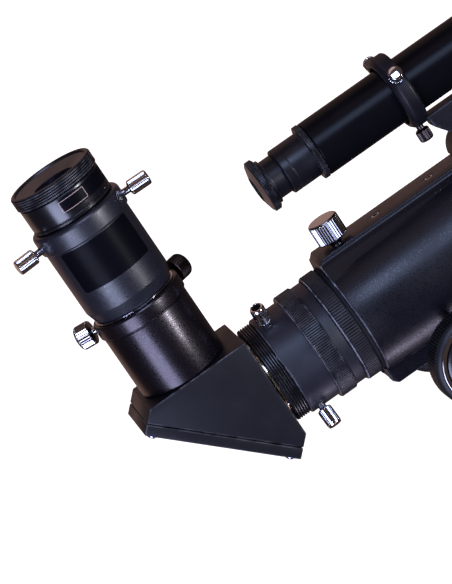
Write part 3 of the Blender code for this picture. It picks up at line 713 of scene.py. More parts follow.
def combined(shape: bmesh.types.BMesh, tools: Sequence[bmesh.types.BMesh],
             operation: Operation) -> bmesh.types.BMesh:
    """Add tools to a shape, or cut them from it.

    Args:
        shape: the shape, which is used up.
        tools: the tools, which are used up.
        operation: whether they add or cut.

    Returns:
        The new shape.
    """
    objects = []
    for item in (shape, *tools):
        mesh = bpy.data.meshes.new("work")
        item.to_mesh(mesh)
        item.free()
        made = bpy.data.objects.new("work", mesh)
        bpy.context.scene.collection.objects.link(made)
        objects.append(made)
    host = objects[0]
    for tool in objects[1:]:
        step = host.modifiers.new("step", "BOOLEAN")
        step.operation = operation.value
        step.solver = "EXACT"
        step.object = tool
    bpy.context.view_layer.update()
    finished = host.evaluated_get(bpy.context.evaluated_depsgraph_get()).to_mesh()
    result = bmesh.new()
    result.from_mesh(finished)
    for made in objects:
        mesh = made.data
        bpy.data.objects.remove(made)
        bpy.data.meshes.remove(mesh)
    return result


def merged(shapes: Sequence[bmesh.types.BMesh]) -> bmesh.types.BMesh:
    """Lay separate closed shapes in one mesh.

    Args:
        shapes: the shapes, which are used up.

    Returns:
        One mesh with all of them.
    """
    result = bmesh.new()
    for item in shapes:
        mesh = bpy.data.meshes.new("work")
        item.to_mesh(mesh)
        item.free()
        result.from_mesh(mesh)
        bpy.data.meshes.remove(mesh)
    return result


def wrapped_panel(line: Line, low: float, high: float, start: float, end: float, radius: float,
                  corner: float, frame_width: float = 0.0, thickness: float = 0.06) -> bmesh.types.BMesh:
    """A thin rounded panel laid round a turned piece.

    Args:
        line: the piece's line.
        low: the panel's lower edge along it.
        high: its upper edge.
        start: the angle in degrees of its first side.
        end: the angle of its last side.
        radius: radius of the panel's outside.
        corner: radius of its corners.
        frame_width: width of a printed outline, or 0 for a whole panel.
        thickness: how thick it is.

    Returns:
        The panel in its place.
    """
    width = math.radians(end - start) * radius
    shape = bmesh.new()
    corners = [(0, low), (width, low), (width, high), (0, high)]
    shape.faces.new([shape.verts.new((across * MM, 0, along * MM)) for across, along in corners])
    bmesh.ops.bevel(shape, geom=shape.verts[:], offset=corner * MM, offset_type="OFFSET", segments=5,
                    profile=0.5, affect="VERTICES", material=-1, clamp_overlap=True)
    if frame_width:
        shape.normal_update()
        rim = bmesh.ops.inset_region(shape, faces=shape.faces[:], thickness=frame_width * MM, use_boundary=True,
                                     use_even_offset=True)
        inside = [face for face in shape.faces if face not in rim["faces"]]
        bmesh.ops.delete(shape, geom=inside, context="FACES")
    cuts = max(8, int(abs(end - start) / 2))
    for index in range(1, cuts):
        bmesh.ops.bisect_plane(shape, geom=shape.verts[:] + shape.edges[:] + shape.faces[:],
                               plane_co=(width * index / cuts * MM, 0, 0), plane_no=(1, 0, 0))
    grown = bmesh.ops.extrude_face_region(shape, geom=shape.faces[:], use_keep_orig=True)
    lifted = {item for item in grown["geom"] if isinstance(item, bmesh.types.BMVert)}
    for point in shape.verts:
        reach = (radius if point in lifted else radius - thickness) * MM
        angle = math.radians(start) + point.co.x / (radius * MM)
        point.co = (reach * math.cos(angle), reach * math.sin(angle), point.co.z)
    bmesh.ops.recalc_face_normals(shape, faces=shape.faces)
    bmesh.ops.translate(shape, verts=shape.verts, vec=line.place)
    return shape


def ridged(low: float, high: float, radius: float, depth: float, count: int) -> list[Point]:
    """An outline's stretch of ring ridges from low to high.

    Args:
        low: where the ridges start along the outline.
        high: where they end.
        radius: the ridges' radius.
        depth: the depth of the grooves between them.
        count: how many ridges there are.

    Returns:
        The outline's points.
    """
    pitch = (high - low) / count
    points: list[Point] = []
    for index in range(count):
        start = low + index * pitch
        points += [(start + pitch * 0.08, radius - depth), (start + pitch * 0.34, radius),
                   (start + pitch * 0.66, radius), (start + pitch * 0.92, radius - depth)]
    return points


# --------------------------------------------------------------------------- places


@dataclass(frozen=True)
class Places:
    """The telescope's lines, taken from the frame's boxes."""

    mouth: float
    axis_height: float
    eye: float
    pinion: Vector
    finder_height: float

    @classmethod
    def of_frame(cls) -> "Places":
        """Measure the lines on the frame.

        Returns:
            The telescope's lines.
        """
        tube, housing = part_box("main_tube"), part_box("focuser_housing")
        rim, gear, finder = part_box("eyepiece_rim"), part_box("pinion_gear"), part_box("finder_tube")
        return cls(housing[0].x, (tube[0].z + tube[1].z) / 2, (rim[0].x + rim[1].x) / 2,
                   (gear[0] + gear[1]) / 2, (finder[0].z + finder[1].z) / 2)

    def point(self, station: float, side: float = 0.0, height: float = 0.0) -> Vector:
        """World place of a station, side and height in millimetres."""
        return Vector((self.mouth + station * MM, side * MM, self.axis_height + height * MM))

    @property
    def optical(self) -> Line:
        """The optical axis, from the focuser's mouth forwards."""
        return Line(self.point(0), Towards.FORWARD.vector)

    @property
    def eye_line(self) -> Line:
        """The eyepiece's upright axis, from the height of the optical axis."""
        return Line(Vector((self.eye, 0, self.axis_height)), Towards.UP.vector)

    @property
    def finder_line(self) -> Line:
        """The finder's axis, from the focuser's mouth forwards."""
        return Line(Vector((self.mouth, 0, self.finder_height)), Towards.FORWARD.vector)

    def pinion_line(self, towards: Towards) -> Line:
        """The focus knobs' axis, from the middle out to one side."""
        return Line(self.pinion, towards.vector)

    def across_axis(self, station: float, angle: float, height: float | None = None) -> Line:
        """A line square to the optical or finder axis, by the angle from up to the right.

        Args:
            station: its station.
            angle: its direction in degrees, from up towards the right.
            height: world height of the axis in metres, or nothing for the optical axis.

        Returns:
            The line, from the axis outwards.
        """
        turn = math.radians(angle)
        level = self.axis_height if height is None else height
        place = Vector((self.mouth + station * MM, 0, level))
        return Line(place, Vector((0, -math.sin(turn), math.cos(turn))))

    def across_eye(self, height: float, angle: float) -> Line:
        """A line square to the eyepiece's axis, by the angle from forward to the left.

        Args:
            height: its height above the optical axis.
            angle: its direction in degrees, from forward towards the left.

        Returns:
            The line, from the eyepiece's axis outwards.
        """
        turn = math.radians(angle)
        place = Vector((self.eye, 0, self.axis_height + height * MM))
        return Line(place, Vector((math.cos(turn), math.sin(turn), 0)))


class SubAssembly:
    """Pieces that are built and dressed together."""

    places: Places

    def add(self, name: str, shape: bmesh.types.BMesh, finish: Finish, body: str, *nodes: str,
            lining: Finish | None = None, edge_or_face: Finish | None = None) -> bpy.types.Object:
        """Finish a shape as a piece of the telescope.

        Args:
            name: the piece's name.
            shape: its mesh in place, which is used up.
            finish: its finish.
            body: the frame's body that it rides on.
            nodes: the frame's nodes that it stands for.
            lining: the finish of its bore, or the painted shade of its grooves and sockets.
            edge_or_face: the finish of its rubbed edges, or of its face, which on the eyepieces' dishes and faces
                carries a painted reflection.

        Returns:
            The piece.
        """
        mesh = bpy.data.meshes.new(name)
        shape.to_mesh(mesh)
        shape.free()
        mesh.shade_smooth()
        mesh.set_sharp_from_angle(angle=SHARP_ANGLE)
        mesh.materials.append(SHOP.material(finish))
        if lining is not None or edge_or_face is not None:
            mesh.materials.append(SHOP.material(lining or finish))
        if edge_or_face is not None:
            mesh.materials.append(SHOP.material(edge_or_face))
        piece = bpy.data.objects.new(name, mesh)
        bpy.context.scene.collection.objects.link(piece)
        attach(piece, body)
        if nodes:
            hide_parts(*nodes)
        LOG.info("%s: %d faces on %s", name, len(mesh.polygons), body)
        return piece

    @staticmethod
    def dress(node: bpy.types.Object, finish: Finish) -> None:
        """Give a frame node that is kept as it is its finish.

        Args:
            node: the node.
            finish: its finish.
        """
        for slot in node.material_slots:
            slot.material = SHOP.material(finish)
        LOG.info("%s: kept, %s", node.name, finish.name)


class ScrewEnd(Enum):
    """How a thumb screw's head ends."""

    FLAT = "flat"
    DOMED = "domed"
    SOCKET = "socket"


@dataclass(frozen=True)
class Thumbscrew:
    """A knurled clamp screw.

    Args:
        tip: where its shank starts along its line.
        neck: where its head starts.
        end: where its head ends.
        head: the head's radius.
        shank: the shank's radius.
        ribs: ribs round the head.
        style: how the head ends.
        depth: depth of the grooves between the ribs.
    """

    tip: float
    neck: float
    end: float
    head: float
    shank: float
    ribs: int
    style: ScrewEnd = ScrewEnd.FLAT
    depth: float = 0.28

    def shape(self, line: Line) -> bmesh.types.BMesh:
        """The screw on its line.

        Args:
            line: the line that it turns about, from its tip to its head.

        Returns:
            The screw in its place.
        """
        low, high = self.neck + 0.7, self.end - 0.9
        outline = [(self.tip, self.shank * 0.6), (self.tip + 0.5, self.shank), (self.neck - 0.25, self.shank),
                   (self.neck, self.head * 0.74), (self.neck + 0.35, self.head - 0.15), (low, self.head - 0.05),
                   (low + 0.03, self.head), (high - 0.03, self.head), (high, self.head - 0.05),
                   (self.end - 0.55, self.head - 0.15)]
        if self.style is ScrewEnd.DOMED:
            outline += [(self.end - 0.3, self.head * 0.88), (self.end - 0.1, self.head * 0.62), (self.end, 0.0)]
        elif self.style is ScrewEnd.SOCKET:
            outline += [(self.end, self.head * 0.86), (self.end, self.head * 0.66),
                        (self.end - 1.6, self.head * 0.58), (self.end - 1.8, 0.0)]
        else:
            outline += [(self.end - 0.05, self.head * 0.9), (self.end, self.head * 0.84)]
        screw = turned(line, outline, steps=self.ribs * FLUTE_STEPS, soft=0.1)
        flute(screw, line, (low + 0.005, high - 0.005), self.ribs, self.depth)
        if self.style is ScrewEnd.SOCKET:
            # The socket's inside takes the second material, painted shade in the recess.
            back = line.frame().inverted()
            for face in screw.faces:
                middle = back @ face.calc_center_median()
                inside = math.hypot(middle.x, middle.y) < self.head * 0.64 * MM
                if inside and middle.z > (self.end - 1.9) * MM:
                    face.material_index = 1
        return screw


# --------------------------------------------------------------------------- sub-assemblies


@dataclass
class Cradle(SubAssembly):
    """The dovetail bar and the two hinged tube rings."""

    places: Places
    bar_top_width: float = 36.4
    ring_half_width: float = 12.0
    ring_bore: float = 38.5
    ring_radius: float = 44.5
    hinge_side: float = 49.0
    knuckle: float = 4.5
    knuckle_split: float = 4.3
    ear_side: float = 54.5

    def build(self) -> None:
        """Build the bar, both rings and their clamp knobs."""
        self.build_bar()
        for label in ("rear", "front"):
            self.build_ring(label)
            self.build_clamp_knob(label)

    def build_bar(self) -> None:
        """The dovetail bar with its holes, and the ring bolts sunk in it."""
        low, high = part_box("dovetail_bar")
        middle = (low + high) / 2
        half_top = self.bar_top_width / 2 * MM
        outline = [Vector((low.x, low.y, low.z)), Vector((low.x, high.y, low.z)),
                   Vector((low.x, half_top, high.z)), Vector((low.x, -half_top, high.z))]
        bar = slab(outline, Vector((high.x - low.x, 0, 0)), 0.7)
        depth = (high.z - low.z) / MM
        tools, bolts = [], []
        for offset in (-25.0, 25.0):
            drill = Line(Vector((middle.x + offset * MM, 0, low.z)), Towards.UP.vector)
            tools.append(turned(drill, [(-1, 4.4), (0, 4.0), (0.8, 3.2), (depth - 0.8, 3.2), (depth, 4.0),
                                        (depth + 1, 4.4)], steps=40, soft=0.0))
        for label in ("rear", "front"):
            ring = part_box(f"{label}_ring_base")
            drill = Line(Vector(((ring[0].x + ring[1].x) / 2, 0, low.z)), Towards.UP.vector)
            tools.append(turned(drill, [(-1, 6.9), (0, 6.5), (0.5, 6.0), (7, 6.0), (7, 3.3), (depth + 1, 3.3)],
                                steps=40, soft=0.0))
            bolts.append(self.bolt(drill, 2.2))
        self.add("dovetail_bar_body", combined(bar, tools, Operation.CUT), ANODISED, "cradle", "dovetail_bar")
        self.add("ring_bolts", merged(bolts), STEEL, "cradle")

    @staticmethod
    def bolt(line: Line, sunk: float) -> bmesh.types.BMesh:
        """A socket bolt whose head starts sunk along a line, its thread beyond it.

        Args:
            line: the bolt's line, from its head to its thread.
            sunk: where its head starts.

        Returns:
            The bolt in its place.
        """
        body = turned(line, [(sunk, 4.6), (sunk + 0.4, 5.0), (sunk + 4.6, 5.0), (sunk + 4.6, 2.5),
                             (sunk + 15.0, 2.5)], steps=48)
        socket = turned(line, [(sunk - 1, 2.3), (sunk + 2.6, 2.3)], steps=6, soft=0.0)
        return combined(body, [socket], Operation.CUT)

    def build_ring(self, label: str) -> None:
        """One ring: its two halves, hinge pin and felt.

        Args:
            label: which ring.
        """
        low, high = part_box(f"{label}_ring_base")
        centre = (low.x + high.x) / 2
        line = Line(Vector((centre, 0, self.places.axis_height)), Towards.FORWARD.vector)
        for part, sign in (("base", -1), ("cap", 1)):
            self.add(f"{label}_ring_{part}_casting", self.ring_half(label, line, sign), MOULDED, "cradle",
                     f"{label}_ring_{part}")
        half = self.ring_half_width
        felt = turned(line, [(-half + 1, 38.47), (half - 1, 38.47)], [(-half + 1, 38.16), (half - 1, 38.16)],
                      steps=128, soft=0.08)
        self.add(f"{label}_ring_felt", felt, FELT, "cradle")
        pin = Line(Vector((centre, self.hinge_side * MM, self.places.axis_height)), Towards.FORWARD.vector)
        reach = half + 0.5
        self.add(f"{label}_hinge_pin", turned(pin, [(-reach, 1.5), (-reach + 0.4, 2.0), (reach - 0.4, 2.0),
                                                    (reach, 1.5)], steps=32, soft=0.2), STEEL, "cradle",
                 f"{label}_ring_pin")

    def ring_half(self, label: str, line: Line, sign: int) -> bmesh.types.BMesh:
        """The upper (1) or lower (-1) half of a ring.

        Args:
            label: which ring.
            line: the tube's axis at the ring's middle.
            sign: 1 for the upper half, -1 for the lower.

        Returns:
            The half with its ear, hinge barrels and pad.
        """
        half = self.ring_half_width
        hoop = turned(line, [(-half, self.ring_radius), (half, self.ring_radius)],
                      [(-half, self.ring_bore), (half, self.ring_bore)], steps=144, soft=0.7)
        level = line.place + Vector((0, 0, sign * 0.2 * MM))
        bmesh.ops.bisect_plane(hoop, geom=hoop.verts[:] + hoop.edges[:] + hoop.faces[:], plane_co=level,
                               plane_no=(0, 0, sign), clear_inner=True)
        bmesh.ops.holes_fill(hoop, edges=[edge for edge in hoop.edges if edge.is_boundary], sides=0)
        bmesh.ops.recalc_face_normals(hoop, faces=hoop.faces)

        def span(side: Point, reach: Point, width: float, soft: float) -> bmesh.types.BMesh:
            """A block between two sides and two heights, of half the width each way.

            Args:
                side: where it starts and ends across the tube.
                reach: where it starts and ends away from the parting plane.
                width: half its length along the tube.
                soft: the rounding of its edges.

            Returns:
                The block.
            """
            bottom, top = sorted((sign * reach[0], sign * reach[1]))
            corner = Vector((width, 0, 0)) * MM
            return block(line.place - corner + Vector((0, side[0], bottom)) * MM,
                         line.place + corner + Vector((0, side[1], top)) * MM, soft)

        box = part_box(f"{label}_ring_{'cap' if sign > 0 else 'base'}")
        edge = abs((box[1].z if sign > 0 else box[0].z) - line.place.z) / MM
        pad = 9.0 if sign > 0 else 15.0
        tools = [span((-pad, pad), (39.6, edge), half - 0.02, 0.8),
                 span((-self.ear_side - 7, -41.5), (0.2, 6.0), 8.0, 1.2),
                 span((40.0, self.hinge_side), (0.2, self.knuckle - 0.2), half - 0.02, 0.3)]
        hoop = combined(hoop, tools, Operation.ADD)
        hinge = Line(line.place + Vector((0, self.hinge_side, 0)) * MM, line.towards)
        split = self.knuckle_split
        own = [(-split + 0.3, split - 0.3)] if sign > 0 else [(-half, -split), (split, half)]
        other = [(-half - 1, -split + 0.3), (split - 0.3, half + 1)] if sign > 0 else [(-split, split)]
        clear = [turned(hinge, [(start, self.knuckle + 0.4), (end, self.knuckle + 0.4)], steps=48, soft=0.0)
                 for start, end in other]
        hoop = combined(hoop, clear, Operation.CUT)
        barrels = [turned(hinge, [(start, self.knuckle), (end, self.knuckle)], steps=48, soft=0.3)
                   for start, end in own]
        hoop = combined(hoop, barrels, Operation.ADD)
        drills = [turned(hinge, [(-half - 1, 2.3), (half + 1, 2.3)], steps=32, soft=0.0),
                  turned(line, [(-half - 1, self.ring_bore), (half + 1, self.ring_bore)], steps=144, soft=0.0),
                  turned(Line(line.place + Vector((0, -self.ear_side, 0)) * MM, Towards.UP.vector),
                         [(-8, 3.35), (8, 3.35)], steps=32, soft=0.0)]
        if sign > 0:
            top = Line(line.place, Towards.UP.vector)
            drills.append(turned(top, [(edge - 7, 2.6), (edge - 6, 3.2), (edge - 0.7, 3.2), (edge, 3.9),
                                       (edge + 1, 4.4)], steps=32, soft=0.0))
        return combined(hoop, drills, Operation.CUT)

    def build_clamp_knob(self, label: str) -> None:
        """A ring's clamp knob on its stud.

        Args:
            label: which ring.
        """
        low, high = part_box(f"{label}_clamp_knob")
        line = Line(Vector(((low.x + high.x) / 2, (low.y + high.y) / 2, self.places.axis_height)),
                    Towards.UP.vector)
        start, end = (low.z - line.place.z) / MM, (high.z - line.place.z) / MM
        head = turned(line, [(6.4, 4.0), (6.4, 6.6), (9.4, 6.9), (10.2, 8.3), (end - 1.6, 8.3), (end - 0.4, 7.6),
                             (end, 6.6), (end - 0.7, 5.2), (end - 0.9, 0.0)], steps=28, soft=0.3,
                      ribs=[Ribs(10.6, end - 2.0, 8.3, 0.65, 0.2)])
        self.add(f"{label}_clamp_grip", head, RUBBER, f"{label}_clamp", f"{label}_clamp_knob", lining=SHADED_GROOVE)
        stud = turned(line, [(start, 2.2), (start + 0.6, 2.9)] + ridged(start + 0.8, 4.4, 2.95, 0.25, 14)
                      + [(4.6, 2.6), (7.0, 2.6)], steps=40, soft=0.05)
        self.add(f"{label}_clamp_stud", stud, STEEL, f"{label}_clamp")


@dataclass
class OpticalTube(SubAssembly):
    """The main tube, the objective in its cell and the dew shield."""

    places: Places
    tube: Outline = ((124.3, 38.1), (537.0, 38.1))
    wall: float = 1.5
    sleeve: float = 36.3
    shield_radius: float = 43.6
    shield_bore: float = 42.3

    def build(self) -> None:
        """Build every piece of the tube."""
        line = self.places.optical
        (start, radius), (end, _) = self.tube
        bore = radius - self.wall
        self.add("main_tube_shell", turned(line, self.tube, [(start, bore), (end, bore)], 192, 0.35, lining=True),
                 TUBE_ENAMEL, "tube", "main_tube", lining=FLAT_BLACK)
        middle = (start + end) / 2
        self.add("glare_baffle", turned(
            line, [(middle, self.sleeve), (middle + 10, self.sleeve)],
            [(middle, 26.0), (middle + 1.5, 26.0), (middle + 1.5, 35.3), (middle + 10, 35.3)], 128, 0.2),
            FLAT_BLACK, "tube", "tube_baffle")
        self.build_objective(line, end)

    def build_objective(self, line: Line, tube_end: float) -> None:
        """The cell, its two lenses and retainer, and the dew shield.

        Args:
            line: the optical axis.
            tube_end: the station of the main tube's front end.
        """
        seat = tube_end + 6.0
        flange, front = tube_end + 0.3, seat + 17.0
        self.add("objective_cell_body", turned(
            line, [(tube_end - 12, self.sleeve), (flange, self.sleeve), (flange, 42.0), (flange + 1.2, 42.0),
                   (flange + 1.7, 41.7), (front - 4, 41.7), (front - 3.5, 42.0), (front, 42.0)],
            [(tube_end - 12, 34.6), (seat, 34.6), (seat, 36.5), (front - 1, 36.5), (front, 37.5)], 160, 0.3),
            SMOOTH_ANODISED, "tube", "objective_cell")
        flint, crown = seat + 0.3, seat + 5.6
        self.add("flint_element", self.lens(line, flint, flint + 5.0, 36.2, -0.5, -2.1), COATED_GLASS, "tube",
                 "flint_lens")
        self.add("crown_element", self.lens(line, crown, crown + 4.0, 36.2, -2.1, 1.5), COATED_GLASS, "tube",
                 "crown_lens")
        ring = crown + 4.3
        self.add("retaining_ring", turned(
            line, [(ring, 36.2)] + ridged(ring + 0.2, ring + 3.4, 36.2, 0.2, 5) + [(ring + 3.7, 35.9)],
            [(ring, 35.0), (ring + 2.9, 35.0), (ring + 3.7, 35.5)], 144, 0.1),
            SMOOTH_ANODISED, "tube", "lens_retainer")
        low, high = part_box("dew_shield")
        start, end = ((corner.x - self.places.mouth) / MM for corner in (low, high))
        outer = [(start, self.shield_radius - 0.3), (start + 0.5, self.shield_radius),
                 (end - 4.4, self.shield_radius), (end - 3.6, self.shield_radius + 0.6),
                 (end - 0.4, self.shield_radius + 0.6), (end, self.shield_radius)]
        inner = [(start, self.shield_bore), (end - 0.4, self.shield_bore), (end, self.shield_bore + 0.4)]
        self.add("dew_shield_shell", turned(line, outer, inner, 192, 0.3, lining=True), TUBE_ENAMEL, "tube",
                 "dew_shield", lining=FLAT_BLACK)

    @staticmethod
    def lens(line: Line, rear: float, front: float, radius: float, rear_bulge: float,
             front_bulge: float) -> bmesh.types.BMesh:
        """A lens between two rim stations; a bulge is its middle's offset along the line.

        Args:
            line: its axis.
            rear: the station of its rear rim.
            front: the station of its front rim.
            radius: its radius.
            rear_bulge: how far the middle of its rear face lies along the line from the rim.
            front_bulge: the same for its front face.

        Returns:
            The lens in its place.
        """
        shares = [index / 12 for index in range(13)]
        back = [(rear + rear_bulge * (1 - part**2), part * radius) for part in shares]
        face = [(front + front_bulge * (1 - part**2), part * radius) for part in reversed(shares)]
        return turned(line, back + face, steps=96, soft=0.05)


@dataclass
class Focuser(SubAssembly):
    """The focuser's housing with its rail, rack box, fittings and pinion bracket."""

    places: Places
    barrel: Outline = ((1.0, 24.3), (1.5, 24.9), (14, 25.6), (60, 27.0), (100, 28.05), (105, 28.4), (109.5, 29.8),
                       (114, 32.9), (118, 36.8), (119.6, 38.1), (120.2, 38.4), (124.0, 38.4), (124.0, 36.3),
                       (140, 36.3))
    bore: Outline = ((1.0, 21.9), (1.5, 21.5), (98, 21.5), (120, 32.0), (140, 34.0))
    rail_height: float = 28.3
    rail_half: float = 9.0
    rail_screws: tuple[float, float] = (31.0, 56.5)
    box_depth: float = 30.2
    slot_half: float = 5.3
    slot_depth: float = 28.6
    lock_station: float = 12.5

    def build(self) -> None:
        """Build the housing and its fittings."""
        self.build_housing()
        self.build_fittings()
        self.build_bracket()

    def side(self, corners: Outline, half_width: float, soft: float, segments: int = 3) -> bmesh.types.BMesh:
        """A slab whose corners list (station, height), as seen from the side.

        Args:
            corners: its corners.
            half_width: half its width across the telescope.
            soft: the rounding of its edges.
            segments: facets of the rounding.

        Returns:
            The slab.
        """
        outline = [self.places.point(station, -half_width, height) for station, height in corners]
        return slab(outline, Vector((0, 2 * half_width * MM, 0)), soft, segments)

    def build_housing(self) -> None:
        """The casting: a flared barrel, the rail on top and the rack box below."""
        point, top = self.places.point, self.rail_height
        barrel = turned(self.places.optical, self.barrel, self.bore, 192, 0.35)
        rail = self.rail()
        box = self.side([(0, -22.0), (0, 2.0 - self.box_depth), (2.0, -self.box_depth), (104, -self.box_depth),
                         (108, -28.6), (108, -22)], 10.0, 0.45)
        housing = combined(barrel, [rail, box], Operation.ADD)
        slot = block(point(-2, -self.slot_half, -self.slot_depth), point(113, self.slot_half, -14), 0.0)
        clear = turned(self.places.optical, [(-3, 21.5), (98, 21.5)], steps=192, soft=0.0)
        wells = [turned(self.places.across_axis(station, 0), [(23, 2.1), (top - 0.3, 2.1), (top, 2.4),
                                                              (top + 1, 2.8)], steps=40, soft=0.0)
                 for station in self.rail_screws]
        lock = turned(self.places.across_axis(self.lock_station, 0),
                      [(19, 2.5), (top - 0.3, 2.5), (top, 2.9), (top + 1, 3.2)], steps=40, soft=0.0)
        window = turned(self.places.pinion_line(Towards.LEFT), [(-6, 6.3), (6, 6.3)], steps=64, soft=0.0)
        groove = turned(self.places.pinion_line(Towards.LEFT), [(-12, 2.9), (12, 2.9)], steps=32, soft=0.0)
        pocket = block(point(27.0, -4, 18), point(61.0, 4, 24), 0.0)
        housing = combined(housing, [slot, clear, *wells, lock, window, groove, pocket], Operation.CUT)
        mark(housing, self.places.optical, (0.97, 1.5), (24.2, 40.0), 2)
        self.add("focuser_casting", housing, HOUSING_PAINT, "tube", "focuser_housing", edge_or_face=WORN_EDGE)

    def rail(self) -> bmesh.types.BMesh:
        """The rail, whose sides flare into the barrel and whose rear edge is cut off.

        Returns:
            The rail, still separate from the barrel.
        """
        top, half = self.rail_height, self.rail_half
        right = [(half, top), (half + 0.06, top - 1.6), (half + 2.0, top - 3.4), (half + 7.0, top - 9.8)]
        section = [(-side, height) for side, height in reversed(right)] + right
        rail = slab([self.places.point(0.8, side, height) for side, height in section],
                    Vector((109.2 * MM, 0, 0)), 0.0)
        bmesh.ops.bisect_plane(rail, geom=rail.verts[:] + rail.edges[:] + rail.faces[:],
                               plane_co=self.places.point(0.8, 0, top - 2.4), plane_no=(-2.4, 0, 2.2),
                               clear_outer=True)
        bmesh.ops.holes_fill(rail, edges=[edge for edge in rail.edges if edge.is_boundary], sides=0)
        bmesh.ops.recalc_face_normals(rail, faces=rail.faces)
        sharp = [edge for edge in rail.edges if edge.calc_face_angle(0.0) > math.radians(35)]
        bmesh.ops.bevel(rail, geom=sharp, offset=0.4 * MM, offset_type="OFFSET", segments=3, profile=0.5,
                        affect="EDGES", material=-1, clamp_overlap=True)
        return rail

    def build_fittings(self) -> None:
        """The black felt ring that paints the shade in the mouth's gap, the lock screw and the two socket screws
        sunk in the rail.
        """
        # Painted shade: a black felt ring fills the gap between the drawtube's end ring and the mouth, where shade
        # falls.
        gap_shade = turned(self.places.optical, [(-0.3, 23.3), (0.9, 23.9)], [(-0.3, 21.25), (0.9, 21.25)], 128, 0.2)
        rack_way = block(self.places.point(-2, -self.slot_half, -26), self.places.point(2, self.slot_half, -14), 0.0)
        gap_shade = combined(gap_shade, [rack_way], Operation.CUT)
        self.add("mouth_gap_shade", gap_shade, FELT, "tube")
        lock = Thumbscrew(21.4, 30.0, 39.2, 6.4, 2.1, 36, ScrewEnd.FLAT, 0.42)
        lock_line = self.places.across_axis(self.lock_station, 0)
        knob = lock.shape(lock_line)
        mark(knob, lock_line, (lock.end - 0.2, lock.end + 0.1), (0.0, lock.head), 2)
        self.add("lock_thumbscrew", knob, KNURLED_CHROME, "focus_lock", "focus_lock_screw", edge_or_face=CHROME)
        for label, station in zip(("rear", "front"), self.rail_screws):
            line = self.places.across_axis(station, 0)
            top = self.rail_height - 0.1
            screw = turned(line, [(24.0, 1.7), (24.4, 2.0), (top - 0.3, 2.0), (top, 1.75)], steps=32, soft=0.1)
            hexagon = turned(line, [(top - 1.6, 1.3), (top + 1, 1.3)], steps=6, soft=0.0)
            screw = combined(screw, [hexagon], Operation.CUT)
            # The hex socket's inside takes painted shade.
            mark(screw, line, (top - 1.7, top - 0.2), (0.0, 1.35), 1)
            self.add(f"{label}_rail_setscrew", screw, CHROME, "tube", f"rail_screw_{label}", lining=SHADED_GROOVE)

    def build_bracket(self) -> None:
        """The bracket that holds the pinion up, with its two screws."""
        low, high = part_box("pinion_bracket")
        middle = (low.x + high.x) / 2
        outline = [(low.x, high.z), (low.x, high.z - 4.5 * MM), (middle - 7 * MM, low.z),
                   (middle + 7 * MM, low.z), (high.x, high.z - 4.5 * MM), (high.x, high.z)]
        corners = [Vector((along, low.y, up)) for along, up in outline]
        bracket = slab(corners, Vector((0, high.y - low.y, 0)), 0.9)
        line = self.places.pinion_line(Towards.LEFT)
        tools = [turned(line, [(-6, 6.3), (6, 6.3)], steps=64, soft=0.0),
                 turned(line, [(-13, 2.9), (13, 2.9)], steps=40, soft=0.0)]
        bracket = combined(bracket, tools, Operation.CUT)
        self.add("pinion_carrier", bracket, HOUSING_PAINT, "tube", "pinion_bracket")
        heads = [self.pan_head(Line(Vector((middle, side * MM, low.z)), Towards.DOWN.vector), 2.2, 1.0)
                 for side in (-8.6, 8.6)]
        self.add("pinion_carrier_screws", merged(heads), CHROME, "tube")

    @staticmethod
    def pan_head(line: Line, radius: float, rise: float) -> bmesh.types.BMesh:
        """A domed cross-slot screw head that stands on a face.

        Args:
            line: from the face outwards.
            radius: its radius.
            rise: its height.

        Returns:
            The head in its place.
        """
        head = turned(line, [(-0.6, radius * 0.6), (0.0, radius), (rise * 0.45, radius * 0.96),
                             (rise * 0.8, radius * 0.72), (rise, radius * 0.35), (rise, 0.0)], steps=36, soft=0.1)
        arm, depth = radius * 0.62 * MM, rise * 0.55 * MM
        cross = [block(Vector((-arm, -0.16 * radius * MM, rise * MM - depth)),
                       Vector((arm, 0.16 * radius * MM, rise * MM + MM)), 0.0),
                 block(Vector((-0.16 * radius * MM, -arm, rise * MM - depth)),
                       Vector((0.16 * radius * MM, arm, rise * MM + MM)), 0.0)]
        for bar in cross:
            bmesh.ops.transform(bar, matrix=line.frame(), verts=bar.verts)
        return combined(head, cross, Operation.CUT)


